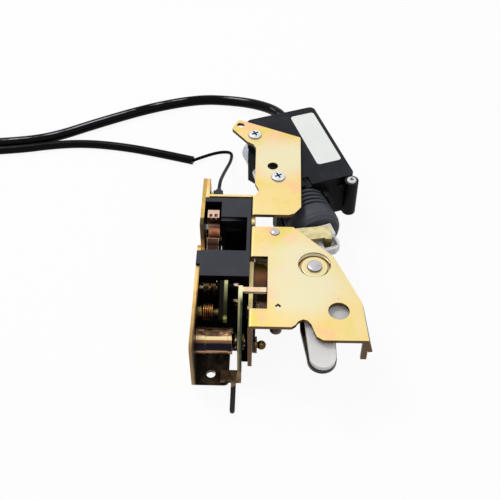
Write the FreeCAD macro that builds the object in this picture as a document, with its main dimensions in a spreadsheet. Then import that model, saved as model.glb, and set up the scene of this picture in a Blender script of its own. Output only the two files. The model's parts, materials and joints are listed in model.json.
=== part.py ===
import FreeCAD
import Part
import math
import os
import re

import Sketcher
from FreeCAD import Placement, Rotation, Vector

# Door latch actuator: a stamped latch case with a fork and pawl, release levers
# on a bent back plate, and a lock motor unit with a push rod.  Millimetres.
# X points right, Y away, Z up.  The origin is the centre of the threaded bush
# in the outer face of the lock plate.

SIZES = [
    # shared
    ("floor_z", -24.0, "height of the surface the part lies on"),
    ("top_z", 20.0, "upper face of the back plate flanges"),
    ("sheet_t", 2.5, "thickness of the case sheet"),
    ("run_gap", 0.05, "radial play of a turning fit"),
    ("side_gap", 0.3, "side play between moving plates"),
    # lock plate
    ("plate_near", -18.0, "near edge"),
    ("plate_far", 125.5, "far edge"),
    ("plate_top", 17.0, "upper edge"),
    ("plate_round", 5.0, "corner radius"),
    ("foot_out", 22.0, "width of the foot flange"),
    ("foot_near", -17.0, "near edge of the foot flange"),
    ("foot_far", 16.0, "far edge of the foot flange"),
    ("foot_hole_x", 11.0, "foot hole across"),
    ("foot_hole_y", -9.0, "foot hole along"),
    ("foot_hole_r", 2.75, "foot hole radius"),
    ("striker_y", 70.0, "latched striker along the plate"),
    ("striker_half", 9.0, "half width of the striker slot"),
    # fork and pawl
    ("fork_y", 88.0, "fork pivot along"),
    ("fork_z", -7.0, "fork pivot height"),
    ("fork_in", 5.0, "near face of the fork"),
    ("fork_out", 12.5, "far face of the fork"),
    ("fork_reach", 27.0, "radius over the fork legs"),
    ("fork_step", 24.8, "radius under the pawl nose"),
    ("fork_hub", 15.0, "hub radius"),
    ("bite_r", 6.5, "half width of the bite"),
    ("bite_far", 19.3, "bite centre from the pivot"),
    ("bite_turn", 114.7, "bite direction in the open fork"),
    ("fork_pin_r", 3.95, "fork pin radius"),
    ("pawl_y", 37.0, "pawl pivot along"),
    ("pawl_z", 5.0, "pawl pivot height"),
    ("pawl_in", 5.0, "near face of the pawl"),
    ("pawl_out", 8.5, "far face of the pawl"),
    ("pawl_pin_r", 2.95, "pawl pin radius"),
    ("post_y", 17.0, "spring post along"),
    # bush and release lever
    ("bush_r", 8.0, "bush radius"),
    ("bush_out", 24.0, "end of the bush barrel"),
    ("thread_r", 3.4, "core radius of the M8 thread"),
    ("spigot_r", 5.0, "bush spigot in the lock plate"),
    ("axle_r", 2.95, "release lever axle radius"),
    ("lever_in", 27.0, "near face of the release lever"),
    # housing
    ("house_in", 13.6, "inner side of the housing's deep walls"),
    ("house_high", 19.0, "upper face of the housing"),
    ("tray_near", 7.0, "near edge of the housing's tray"),
    # back plate
    ("web_x", 33.0, "near face of the web"),
    ("web_near", -4.0, "near edge of the web"),
    ("web_far", 104.0, "far edge of the web"),
    ("web_low", -20.0, "lower edge of the web"),
    ("bend_r", 2.2, "outer radius of the bend over the web"),
    ("lever_near", -12.8, "near edge of the lever plate's wide end"),
    ("plate_end", 75.4, "far edge of the lever plate"),
    ("mount_near", 86.2, "near edge of the motor plate"),
    ("window_near", 9.0, "near end of the window"),
    ("window_far", 50.0, "far end of the window"),
    ("window_out", 44.2, "outer side of the window"),
    ("main_x", 72.6, "main pivot across"),
    ("main_y", 42.4, "main pivot along"),
    ("recess_r", 10.0, "pressed recess radius"),
    ("recess_deep", 1.8, "pressed recess depth"),
    ("recess_far", 1.6, "recess centre beyond the main pivot"),
    ("washer_r", 8.3, "pivot washer radius"),
    ("hook_x", 48.4, "hook lever pivot across"),
    ("hook_y", 70.8, "hook lever pivot along"),
    ("knob_x", 49.4, "stop knob across"),
    ("knob_y", 0.6, "stop knob along"),
    ("rivet_r", 1.95, "small rivet radius"),
    ("main_rivet_r", 2.95, "main rivet radius"),
    ("screw_hole_r", 2.5, "screw hole radius"),
    ("screw_far_x", 33.7, "far screw across"),
    ("screw_far_y", 165.2, "far screw along"),
    ("screw_mid_x", 50.3, "middle screw across"),
    ("screw_mid_y", 121.9, "middle screw along"),
    ("bracket_hole_x", 46.5, "fixing hole across"),
    ("bracket_hole_y", 132.9, "fixing hole along"),
    ("bracket_hole_r", 3.6, "fixing hole radius"),
    # levers on the back plate
    ("outer_t", 1.6, "thickness of the outer lever"),
    ("outer_y", 24.0, "outer lever pivot along"),
    ("outer_z", -1.5, "outer lever pivot height"),
    ("ball_y", -2.5, "ball stud along"),
    ("ball_r", 2.85, "ball radius"),
    ("ball_reach", 3.8, "ball centre out of the outer lever"),
    ("lock_low", 9.5, "lower face of the lock lever"),
    ("lock_high", 12.0, "upper face of the lock lever"),
    ("tongue_high", 15.3, "upper face of the lock tongue"),
    ("hook_low", 12.5, "lower face of the hook lever"),
    ("hook_high", 15.0, "upper face of the hook lever"),
    # motor unit
    ("unit_x", 67.2, "motor unit place across"),
    ("unit_y", 116.6, "motor unit place along"),
    ("unit_turn", 20.0, "turn of the motor unit"),
    ("case_left", -15.0, "left wall"),
    ("case_right", 37.5, "right wall"),
    ("case_long", 78.0, "length of the case"),
    ("case_low", -15.5, "lower face of the case"),
    ("case_split", 11.0, "parting face under the cover"),
    ("cover_high", 17.2, "upper face of the cover"),
    ("wall_t", 2.0, "wall of the case"),
    ("case_round", 4.0, "corner radius of the case"),
    ("rod_z", -1.5, "push rod height"),
    ("rod_r", 7.5, "push rod radius"),
    ("rod_half", 8.5, "half width of the rod end"),
    ("rod_end", -53.5, "front of the rod end"),
    ("rod_high", 10.0, "upper face of the rod end"),
    ("boot_front", -31.3, "front of the bellows"),
    ("boot_crest", 17.3, "bellows crest radius"),
    ("boot_crease", 15.2, "bellows crease radius"),
    ("boot_inner", 13.6, "bellows inner radius"),
    ("motor_x", -9.3, "motor axis across"),
    ("motor_z", -3.0, "motor axis height"),
    ("motor_r", 12.0, "motor can radius"),
    ("motor_near", 24.0, "near end of the motor can"),
    ("motor_far", 68.0, "far end of the motor can"),
    ("worm_r", 3.4, "worm radius"),
    ("gear_x", 2.0, "drive gear across"),
    ("gear_y", 11.5, "drive gear along"),
    ("gear_r", 7.0, "worm wheel radius"),
    ("pinion_r", 3.8, "pinion radius"),
    ("gear_pin_r", 1.5, "gear pin radius"),
    ("post_x", 33.0, "screw post across"),
    ("post_front", -5.0, "screw post along"),
    ("post_r", 4.7, "screw post radius"),
    ("post_low", -11.5, "lower end of the screw post"),
    ("screw_r", 2.1, "screw shank radius"),
    ("head_r", 4.75, "screw head radius"),
    ("screw_play", 0.15, "radial play of a screw in its boss"),
    ("boss_r", 5.4, "screw boss radius"),
    ("gland_x", 24.0, "cable gland across"),
    ("gland_z", -8.0, "cable gland height"),
    # cords
    ("conduit_r", 4.0, "conduit radius"),
    ("sleeve_r", 3.2, "sleeve radius"),
    ("wire_r", 1.2, "thin lead radius"),
]

doc = FreeCAD.newDocument("DoorLatchActuator")
sheet = doc.addObject("Spreadsheet::Sheet", "Sizes")
for row, (alias, number, note) in enumerate(SIZES, 1):
    sheet.set(f"A{row}", note)
    sheet.set(f"B{row}", str(number))
    sheet.setAlias(f"B{row}", alias)
doc.recompute()
NAMES = {alias for alias, number, note in SIZES}


def ref(text):
    """Write the sheet's names in an expression as references to its cells."""
    return re.sub(r"[a-z_]+", lambda m: "Sizes." + m[0] if m[0] in NAMES else m[0], str(text))


def value(text):
    """The number that an expression has now."""
    return float(sheet.evalExpression(ref(text)))


def box(x_low, x_high, y_low, y_high):
    """Corners of a rectangle in a sketch plane."""
    return [(x_low, y_low), (x_high, y_low), (x_high, y_high), (x_low, y_high)]


def ring(x, y, radius):
    """A circle in a sketch plane."""
    return ("ring", x, y, radius)


def polar(radius, degrees):
    """A point at a radius and an angle from the first axis."""
    return (f"({radius}) * cos({degrees})", f"({radius}) * sin({degrees})")


NORMAL = {"XY": 2, "XZ": 1, "YZ": 0}


class Piece:
    """One sub-part: a PartDesign body whose sketches read the sheet."""

    def __init__(self, node, at=("0", "0", "0"), turn=None):
        self.body = doc.addObject("PartDesign::Body", node)
        self.body.Label = node
        self.body.AllowCompound = True
        if turn:
            self.body.Placement = Placement(Vector(), Rotation(Vector(0, 0, 1), value(turn)))
            self.body.setExpression("Placement.Rotation.Angle", ref(turn))
        for axis, place in zip("xyz", at):
            if place != "0":
                self.body.setExpression("Placement.Base." + axis, ref(place))
        PIECES[node] = self.body

    def sketch(self, plane, loops, level="0"):
        """Sketch closed loops on an origin plane, moved along its normal."""
        sketch = self.body.newObject("Sketcher::SketchObject", self.body.Name + "_sketch")
        for feature in self.body.Origin.OriginFeatures:
            if feature.Role == plane + "_Plane":
                sketch.AttachmentSupport = [(feature, "")]
        sketch.MapMode = "FlatFace"
        sketch.setExpression("AttachmentOffset.Base.z", ref(level))
        bound = []
        for loop in loops:
            if loop[0] == "ring":
                bound += self.circle(sketch, *loop[1:])
            else:
                bound += self.polygon(sketch, loop)
        for place, text in bound:
            sketch.setExpression(f"Constraints[{place}]", ref(text))
        return sketch

    def circle(self, sketch, x, y, radius):
        """Add a circle with its centre and radius held by expressions."""
        centre = Vector(value(x), value(y), 0)
        shape = Part.Circle(centre, Vector(0, 0, 1), value(radius))
        edge = sketch.addGeometry(shape, False)
        rules = [
            Sketcher.Constraint("DistanceX", -1, 1, edge, 3, centre.x),
            Sketcher.Constraint("DistanceY", -1, 1, edge, 3, centre.y),
            Sketcher.Constraint("Radius", edge, value(radius)),
        ]
        places = sketch.addConstraint(rules)
        return list(zip(places, (x, y, radius)))

    def polygon(self, sketch, points):
        """Add a closed polygon with every corner held by expressions."""
        corners = [Vector(value(x), value(y), 0) for x, y in points]
        lines = [Part.LineSegment(a, b) for a, b in zip(corners, corners[1:] + corners[:1])]
        edges = sketch.addGeometry(lines, False)
        rules = []
        texts = []
        for edge, after, corner, texts_xy in zip(edges, edges[1:] + edges[:1], corners, points):
            rules.append(Sketcher.Constraint("Coincident", edge, 2, after, 1))
            rules.append(Sketcher.Constraint("DistanceX", -1, 1, edge, 1, corner.x))
            rules.append(Sketcher.Constraint("DistanceY", -1, 1, edge, 1, corner.y))
            texts += [None, texts_xy[0], texts_xy[1]]
        places = sketch.addConstraint(rules)
        return [(place, text) for place, text in zip(places, texts) if text is not None]

    def pad(self, plane, loops, low, high):
        """Add material between two levels along the plane's normal axis."""
        level = f"-({high})" if plane == "XZ" else low
        feature = self.body.newObject("PartDesign::Pad", self.body.Name + "_pad")
        feature.Profile = self.sketch(plane, loops, level)
        feature.setExpression("Length", ref(f"({high}) - ({low})"))
        return self

    def pocket(self, plane, loops, low, high):
        """Take material away between two levels."""
        level = f"-({low})" if plane == "XZ" else high
        feature = self.body.newObject("PartDesign::Pocket", self.body.Name + "_pocket")
        feature.Profile = self.sketch(plane, loops, level)
        feature.setExpression("Length", ref(f"({high}) - ({low})"))
        return self

    def lathe(self, axis, profile, cut=False):
        """Turn a half profile of (place along the axis, radius) points."""
        if axis == "X":
            sketch = self.sketch("XY", [profile])
            line = "H_Axis"
        else:
            plane = "XZ" if axis == "Z" else "XY"
            sketch = self.sketch(plane, [[(radius, along) for along, radius in profile]])
            line = "V_Axis"
        kind = "Groove" if cut else "Revolution"
        feature = self.body.newObject("PartDesign::" + kind, self.body.Name + "_turned")
        feature.Profile = sketch
        feature.ReferenceAxis = (sketch, [line])
        feature.Angle = 360
        return self

    def loft(self, plane, sections):
        """Join two outlines that stand at two levels."""
        sign = "-" if plane == "XZ" else ""
        sketches = [self.sketch(plane, [loop], f"{sign}({level})") for level, loop in sections]
        feature = self.body.newObject("PartDesign::AdditiveLoft", self.body.Name + "_loft")
        feature.Profile = sketches[0]
        feature.Sections = sketches[1:]
        feature.Ruled = True
        return self

    def round(self, plane, corners, radius):
        """Round the edges that run along the plane's normal through corners."""
        doc.recompute()
        base = self.body.Tip
        normal = NORMAL[plane]
        flat = [axis for axis in range(3) if axis != normal]
        shape = base.Shape
        picks = [(value(x), value(y)) for x, y in corners]
        names = []
        for number, edge in enumerate(shape.Edges, 1):
            if len(edge.Vertexes) != 2:
                continue
            first, last = (vertex.Point for vertex in edge.Vertexes)
            for pick in picks:
                near = all(abs(end[axis] - want) < 1e-3
                           for end in (first, last) for axis, want in zip(flat, pick))
                if near:
                    names.append(f"Edge{number}")
        feature = self.body.newObject("PartDesign::Fillet", self.body.Name + "_round")
        feature.Base = (base, names)
        feature.setExpression("Radius", ref(radius))
        return self


PIECES = {}


def pipe(node, points, radius):
    """A tube of straight runs and tangent arcs through floor points."""
    points = [Vector(*point) for point in points]
    edges = []
    start = points[0]
    for before, corner, after in zip(points, points[1:], points[2:]):
        inward = (corner - before).normalize()
        outward = (after - corner).normalize()
        half = inward.getAngle(outward) / 2
        reach = 0.45 * min((corner - before).Length, (after - corner).Length)
        bend = reach / math.tan(half)
        print(node, "bend radius", round(bend, 1))
        middle = corner + (outward - inward).normalize() * (bend / math.cos(half) - bend)
        first = corner - inward * reach
        last = corner + outward * reach
        edges.append(Part.makeLine(start, first))
        edges.append(Part.Arc(first, middle, last).toShape())
        start = last
    edges.append(Part.makeLine(start, points[-1]))
    path = Part.Wire(edges)
    heading = (points[1] - points[0]).normalize()
    end = Part.Wire([Part.makeCircle(value(radius), points[0], heading)])
    feature = doc.addObject("Part::Feature", node)
    feature.Label = node
    feature.Shape = path.makePipeShell([end], True, False)
    PIECES[node] = feature
    print(node, "length", round(path.Length, 1), "volume", round(feature.Shape.Volume))


# lock plate with its foot and striker slot
lock_plate = Piece("lock_plate")
lock_plate.pad("YZ", [box("plate_near", "plate_far", "floor_z", "plate_top")], "0", "sheet_t")
lock_plate.pad("XY", [box("0", "foot_out", "foot_near", "foot_far")],
               "floor_z", "floor_z + sheet_t")
lock_plate.pocket("YZ", [box("striker_y - striker_half", "striker_y + striker_half",
                             "0", "plate_top + 1")], "-1", "sheet_t")
lock_plate.pocket("YZ", [ring("striker_y", "0", "striker_half")], "-1", "sheet_t")
lock_plate.pocket("YZ", [ring("0", "0", "spigot_r"),
                         ring("fork_y", "fork_z", "fork_pin_r"),
                         ring("pawl_y", "pawl_z", "pawl_pin_r"),
                         ring("post_y", "pawl_z", "2")], "-1", "sheet_t")
lock_plate.pocket("XY", [ring("foot_hole_x", "foot_hole_y", "foot_hole_r")],
                  "floor_z - 1", "floor_z + sheet_t")
lock_plate.round("YZ", [("plate_near", "plate_top"), ("plate_far", "plate_top"),
                        ("plate_near", "floor_z"), ("plate_far", "floor_z")], "plate_round")
lock_plate.round("XY", [("foot_out", "foot_near"), ("foot_out", "foot_far")], "4")

# back plate: web, lever plate, motor plate, side flange
back_plate = Piece("back_plate")
back_plate.pad("XY", [[
    ("web_x", "web_near"), ("58.3", "web_near"), ("60.6", "web_near + 1.7"),
    ("62.3", "0.4"), ("65", "1.8"), ("67.6", "1"), ("69.8", "-2"),
    ("71", "lever_near + 6.6"), ("72.6", "lever_near + 2.5"), ("76.2", "lever_near"),
    ("102", "lever_near + 0.2"), ("99.7", "15.2"), ("84.6", "plate_end - 24.5"),
    ("59.9", "plate_end"), ("web_x", "plate_end")]], "top_z - sheet_t", "top_z")
back_plate.pad("XY", [[
    ("web_x", "mount_near"), ("57", "mount_near"), ("61", "mount_near + 1.6"),
    ("65.2", "mount_near + 7.4"),
    ("65.8", "163.3"), ("21.7", "182.2"), ("17.1", "172"), ("28.6", "157.9"),
    ("32.8", "155.2"), ("34.7", "151.2"), ("34.8", "115.6"), ("37.5", "108.9"),
    ("35.6", "web_far"), ("web_x", "web_far")]], "top_z - sheet_t", "top_z")
back_plate.pad("YZ", [[
    ("web_near", "top_z - 1"), ("web_near", "web_low"), ("web_far - 14", "web_low"),
    ("web_far", "web_low + 12"), ("web_far", "top_z - 1")]], "web_x", "web_x + sheet_t")
back_plate.loft("XZ", [
    ("lever_near + 0.2", [("99.6", "17.5"), ("102", "20"), ("105.0", "9.6"), ("102.5", "9.0")]),
    ("15.2", [("97.3", "17.5"), ("99.7", "20"), ("101.4", "13.9"), ("98.9", "13.3")])])
back_plate.pad("XY", [box("98.6", "102.1", "lever_near + 0.2", "lever_near + 2.4")],
               "2", "top_z - 1")
back_plate.pad("XY", [ring("main_x", "main_y + recess_far", "recess_r + 1.2")],
               "top_z - sheet_t - recess_deep", "top_z - 1")
BEND = [(f"web_x + bend_r + bend_r * cos({a})", f"top_z - bend_r + bend_r * sin({a})")
        for a in (90, 108, 126, 144, 162, 180)]
back_plate.pocket("XZ", [[("web_x", "top_z")] + BEND], "-10", "web_far + 1")
back_plate.pocket("XY", [box("web_x - 1", "window_out", "window_near", "window_far")],
                  "12", "top_z + 1")
back_plate.pocket("XY", [ring("main_x", "main_y + recess_far", "recess_r")],
                  "top_z - recess_deep", "top_z")
back_plate.pocket("XY", [
    ring("85.9", "8.4", "6.25"), ring("main_x", "main_y", "main_rivet_r"),
    ring("hook_x", "hook_y", "rivet_r"),
    ring("screw_far_x", "screw_far_y", "screw_hole_r"),
    ring("screw_mid_x", "screw_mid_y", "screw_hole_r"),
    ring("bracket_hole_x", "bracket_hole_y", "bracket_hole_r"),
    [("50.5", "13.2"), ("48.5", "11.2"), ("50.5", "9.2"), ("52.5", "11.2")],
    [("20.3", "176"), ("21.6", "173.7"), ("24.6", "173.4"), ("26.2", "175.8"),
     ("24.9", "178"), ("21.8", "178.4")]],
    "0", "top_z")
back_plate.pocket("YZ", [ring("outer_y", "outer_z", "2.95")], "web_x - 1", "web_x + sheet_t")
back_plate.round("XY", [("65.8", "163.3"), ("21.7", "182.2"), ("17.1", "172")], "2")

# black housing around the striker mouth, with a tray under the pawl
housing = Piece("striker_housing")
housing.pad("YZ", [box("82.8", "102", "web_low", "house_high")], "house_in", "web_x")
housing.pad("YZ", [box("55", "83", "web_low", "house_high")], "30.5", "web_x")
housing.pad("YZ", [box("55", "83", "web_low", "web_low + 3")], "house_in", "31")
housing.pad("YZ", [box("34.5", "55.5", "web_low", "house_high")], "house_in", "web_x")
housing.pad("YZ", [box("34.5", "55.5", "12", "house_high")], "sheet_t", "house_in + 1")
housing.pad("YZ", [box("44", "55", "plate_top", "house_high")], "0", "3")
housing.pad("YZ", [box("98.3", "102", "6", "house_high")], "sheet_t", "house_in + 1")
housing.pad("XY", [box("sheet_t", "26.5", "tray_near", "35")], "web_low", "web_low + 2.5")
housing.pocket("YZ", [box("34", "47", "-12", "14")], "13", "21.5")
housing.pocket("XZ", [[("12", "19.5"), ("30.5", "19.5"), ("30.5", "17"), ("12", "17")]],
               "82", "84.6")
housing.pocket("YZ", [ring("fork_y", "fork_z", "fork_pin_r")], "13", "20")

bumper = Piece("striker_bumper")
bumper.pad("YZ", [[("82.8", "-14"), ("80.6", "-12"), ("79.6", "-2"), ("80.6", "8"),
                   ("82.8", "10")]], "16", "28")

# fork with its hook leg, lower leg and bite, drawn open
fork = Piece("fork_bolt", at=("0", "fork_y", "fork_z"))
fork.pad("YZ", [ring("0", "0", "fork_hub")], "fork_in", "fork_out")
fork.pad("YZ", [[polar("6", "bite_turn - 70"), polar("20", "bite_turn - 40")]
                + [polar("fork_reach", f"bite_turn - {a}") for a in (28, 24, 20, 16, 12)]
                + [polar("18", "bite_turn"), polar("4", "bite_turn + 12")]],
         "fork_in", "fork_out")
fork.pad("YZ", [[polar("8", "bite_turn - 8")]
                + [polar("fork_step", f"bite_turn + {a}") for a in (10, 15, 20, 25, 31.8)]
                + [polar("fork_reach", f"bite_turn + {a}") for a in (31.8, 37, 43)]
                + [polar("20", "bite_turn + 50"), polar("13", "bite_turn + 64"),
                   polar("4", "bite_turn + 92")]],
         "fork_in", "fork_out")
BITE = [(1, 6.5), (1, -6.5), (22, -6.5), (22, 6.5)]
fork.pocket("YZ", [[(f"(bite_far + {along - 1}) * cos(bite_turn) - ({side}) * sin(bite_turn)",
                     f"(bite_far + {along - 1}) * sin(bite_turn) + ({side}) * cos(bite_turn)")
                    for along, side in BITE]], "fork_in - 1", "fork_out")
fork.pocket("YZ", [ring("bite_far * cos(bite_turn)", "bite_far * sin(bite_turn)", "bite_r"),
                   ring("0", "0", "fork_pin_r + run_gap")], "fork_in - 1", "fork_out")
fork.pocket("XY", [box("6.2", "8.2", "-4.4", "-2"), box("9.4", "11.4", "-4.4", "-2")],
            "24", "28")

fork_pin = Piece("fork_pin", at=("0", "fork_y", "fork_z"))
fork_pin.lathe("X", [("0", "0"), ("0", "fork_pin_r"), ("20", "fork_pin_r"), ("20", "0")])
fork_spring = Piece("fork_spring", at=("0", "fork_y", "fork_z"))
fork_spring.lathe("X", [("sheet_t", "4.4"), ("sheet_t", "6.8"), ("3.1", "7.4"), ("3.7", "6.8"),
                        ("4.3", "7.4"), ("4.7", "6.8"), ("4.7", "4.4")])

# pawl, its spring, its lever plate and link pins
pawl = Piece("pawl", at=("0", "pawl_y", "pawl_z"))
pawl.pad("YZ", [ring("0", "0", "6.2")], "pawl_in", "pawl_out")
pawl.pad("YZ", [[("-3", "-5"), ("14", "-19.5"), ("23.4", "-17.5"), ("23.4", "-13.5"),
                 ("15", "-11"), ("4", "4.6")]], "pawl_in", "pawl_out")
pawl.pocket("YZ", [ring("0", "0", "pawl_pin_r + run_gap")], "pawl_in - 1", "pawl_out")

pawl_plate = Piece("pawl_plate", at=("0", "pawl_y", "pawl_z"))
pawl_plate.pad("YZ", [ring("0", "0", "8.5")], "13.4", "15.6")
pawl_plate.pad("YZ", [[("3", "7"), ("-3.2", "8.4"), ("-4.6", "12.4"), ("-10", "12.4"),
                       ("-29", "5.4"), ("-29", "2"), ("-9", "-1"), ("0", "-6"), ("6", "0")]],
               "15.5", "20.4")
pawl_plate.pad("YZ", [ring("-7.4", "10.2", "1.9"), ring("-16", "5.6", "1.9")],
               "20", "lever_in - side_gap")
pawl_plate.pocket("YZ", [[("-2", "5"), ("-26", "4"), ("-30", "-8"), ("8", "-8"), ("8", "9"),
                          ("0", "9")]], "17.8", "20.4")
pawl_plate.pocket("YZ", [ring("0", "0", "pawl_pin_r + run_gap")], "13", "19")

pawl_pin = Piece("pawl_pin", at=("0", "pawl_y", "pawl_z"))
pawl_pin.lathe("X", [("0", "0"), ("0", "pawl_pin_r"), ("19.5", "pawl_pin_r"), ("19.5", "0")])


def coil_sleeve(node, place, start, end, inner, outer, turns):
    """A close wound spring as one turned sleeve with a groove between turns."""
    step = (end - start) / turns
    profile = [(start, inner), (start, outer - step / 4)]
    for turn in range(turns):
        profile.append((start + step * (turn + 0.5), outer))
        profile.append((start + step * (turn + 1), outer - step / 4))
    profile.append((end, inner))
    Piece(node, at=place).lathe("X", [(str(along), str(radius)) for along, radius in profile])


coil_sleeve("pawl_spring", ("0", "pawl_y", "pawl_z"), 8.8, 13.1, 3.3, 6.5, 3)
coil_sleeve("lever_spring", ("0", "post_y", "pawl_z"), 5.2, 12.2, 2.5, 5.5, 4)
spring_post = Piece("spring_post", at=("0", "post_y", "pawl_z"))
spring_post.lathe("X", [("0", "0"), ("0", "2"), ("sheet_t", "2"), ("sheet_t", "4.2"),
                        ("5.2", "4.2"), ("5.2", "2.5"), ("15", "2.5"), ("15", "0")])

# threaded bush with the release lever's axle
bush = Piece("fixing_bush")
bush.lathe("X", [("0", "thread_r"), ("0", "spigot_r"), ("sheet_t", "spigot_r"),
                 ("sheet_t", "bush_r"), ("8.5", "bush_r"), ("8.5", "bush_r - 0.4"),
                 ("21.5", "bush_r - 0.4"), ("21.5", "bush_r"), ("bush_out", "bush_r"),
                 ("bush_out", "4.2"), ("lever_in - side_gap", "4.2"),
                 ("lever_in - side_gap", "axle_r"), ("31.6", "axle_r"), ("31.6", "0"),
                 ("20", "0"), ("20", "thread_r")])
release = Piece("release_lever")
release.pad("YZ", [ring("0", "0", "7")], "lever_in", "lever_in + sheet_t")
release.pad("YZ", [[("20.6", "20.4"), ("26", "20.4"), ("25.4", "12"), ("6.5", "-3"),
                    ("-4", "5")]], "lever_in", "lever_in + sheet_t")
release.pad("YZ", [[("5", "-5"), ("-4", "-20.5"), ("-10.5", "-20.5"), ("-6.5", "1")]],
            "lever_in", "lever_in + sheet_t")
release.pad("XY", [box("lever_in", "window_out - 0.6", "21.4", "24.9")], "18.4", "20.4")
release.pad("XY", [box("17", "lever_in + sheet_t", "-16", "-8")], "-20.5", "-18.5")
release.pad("XY", [box("23.5", "26.5", "-37", "-15")], "-20.5", "-18.5")
release.pocket("YZ", [ring("0", "0", "axle_r + run_gap")], "lever_in - 1", "lever_in + sheet_t")
release.round("XY", [("23.5", "-37"), ("26.5", "-37")], "1.4")
axle_clip = Piece("axle_clip")
axle_clip.lathe("X", [("lever_in + sheet_t + side_gap", "axle_r"),
                      ("lever_in + sheet_t + side_gap", "5"), ("30.9", "5"), ("30.9", "axle_r")])

# outer lever with the ball stud, behind the web
OUTER_IN = "(web_x + sheet_t + side_gap)"
OUTER_OUT = f"({OUTER_IN} + outer_t)"
BALL_X = f"({OUTER_OUT} + ball_reach)"
outer = Piece("outer_lever")
outer.pad("YZ", [ring("ball_y", "0", "4.8"), ring("outer_y", "outer_z", "5.2")],
          OUTER_IN, OUTER_OUT)
outer.pad("YZ", [[("ball_y", "4.4"), ("ball_y", "-4.4"), ("outer_y", "outer_z - 5"),
                  ("outer_y", "outer_z + 5")]], OUTER_IN, OUTER_OUT)
outer.pad("YZ", [[("26.5", "2.5"), ("32", "10.4"), ("33", "12"), ("52", "12"), ("52", "9"),
                  ("42", "7.5"), ("28", "-4")]], OUTER_IN, OUTER_OUT)
outer.pad("XY", [box(OUTER_IN, "window_out - 0.4", "32.6", "52")], "10.4", "12")
outer.pocket("YZ", [ring("outer_y", "outer_z", "2.95 + run_gap"), ring("ball_y", "0", "1.9")],
             f"{OUTER_IN} - 1", OUTER_OUT)
ball_stud = Piece("ball_stud", at=("0", "ball_y", "0"))
ball_stud.lathe("X", [(OUTER_IN, "0"), (OUTER_IN, "1.9"), (OUTER_OUT, "1.9"),
                      (OUTER_OUT, "5"), (f"{OUTER_OUT} + 1.2", "5"), (f"{OUTER_OUT} + 1.2", "1.9"),
                      (f"{BALL_X} - 2.1", "1.9"), (f"{BALL_X} - 1.2", "2.55"), (BALL_X, "ball_r"),
                      (f"{BALL_X} + 1.4", "2.45"), (f"{BALL_X} + 2.4", "1.5"),
                      (f"{BALL_X} + 2.8", "0")])
outer_pin = Piece("outer_lever_pin", at=("0", "outer_y", "outer_z"))
outer_pin.lathe("X", [("31.7", "0"), ("31.7", "4"), ("web_x", "4.5"), ("web_x", "2.95"),
                      (f"{OUTER_OUT} + side_gap", "2.95"), (f"{OUTER_OUT} + side_gap", "4.5"),
                      (f"{OUTER_OUT} + 1.6", "4"), (f"{OUTER_OUT} + 1.6", "0")])

# golden end wall, inner strip and latch switch
end_bracket = Piece("end_bracket")
end_bracket.pad("YZ", [box("103.4", "105.4", "web_low", "19")], "5", "web_x")
end_bracket.pad("YZ", [box("105", "plate_far - 4", "-8", "18")], "sheet_t", "5")
end_bracket.pad("YZ", [box("105", "111", "-2", "16")], "sheet_t", "6.7")
end_bracket.pad("YZ", [box("103.4", "105.4", "-8", "18")], "sheet_t", "6")
end_bracket.pocket("XZ", [box("8.7", "11.7", "7.5", "11.5")], "100", "106")
switch = Piece("latch_switch")
switch.pad("XY", [box("7", "13.4", "105.4", "113.5")], "4", "15")
switch.pocket("XZ", [box("8.7", "11.7", "7.5", "11.5")], "105", "109.5")
plunger = Piece("switch_plunger")
plunger.pad("XZ", [box("9", "11.4", "7.8", "11.2")], "102.3", "107.5")
grommet = Piece("switch_grommet", at=("10.4", "0", "12"))
grommet.lathe("Y", [("113.5", "0"), ("113.5", "2.8"), ("115", "2.8"), ("117.2", "1.9"),
                    ("117.2", "0")])

# rivets and stop knob of the lever plate
main_rivet = Piece("main_rivet", at=("main_x", "main_y", "0"))
main_rivet.lathe("Z", [("lock_low - 2.2", "0"), ("lock_low - 2.2", "4.2"),
                       ("lock_low - side_gap", "4.8"), ("lock_low - side_gap", "main_rivet_r"),
                       ("top_z - 0.2", "main_rivet_r"), ("top_z - 0.2", "3.7"),
                       ("top_z + 0.7", "3.4"), ("top_z + 1.3", "2.2"), ("top_z + 1.5", "0")])
pivot_washer = Piece("pivot_washer", at=("main_x", "main_y", "0"))
pivot_washer.lathe("Z", [("top_z - recess_deep", "main_rivet_r"),
                         ("top_z - recess_deep", "washer_r"), ("top_z - 0.6", "washer_r"),
                         ("top_z - 0.2", "washer_r - 0.5"), ("top_z - 0.2", "main_rivet_r")])
hook_rivet = Piece("hook_rivet", at=("hook_x", "hook_y", "0"))
hook_rivet.lathe("Z", [("hook_low - 2", "0"), ("hook_low - 2", "3"),
                       ("hook_low - side_gap", "3.4"), ("hook_low - side_gap", "rivet_r"),
                       ("top_z", "rivet_r"), ("top_z", "3.1"), ("top_z + 0.7", "2.8"),
                       ("top_z + 1.2", "1.6"), ("top_z + 1.3", "0")])
stop_knob = Piece("stop_knob", at=("knob_x", "knob_y", "0"))
stop_knob.lathe("Z", [("9.5", "0"), ("9.5", "1.6"), ("11", "1.6"), ("11", "3.6"),
                      ("top_z - sheet_t", "3.6"), ("top_z - sheet_t", "0")])

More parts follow.
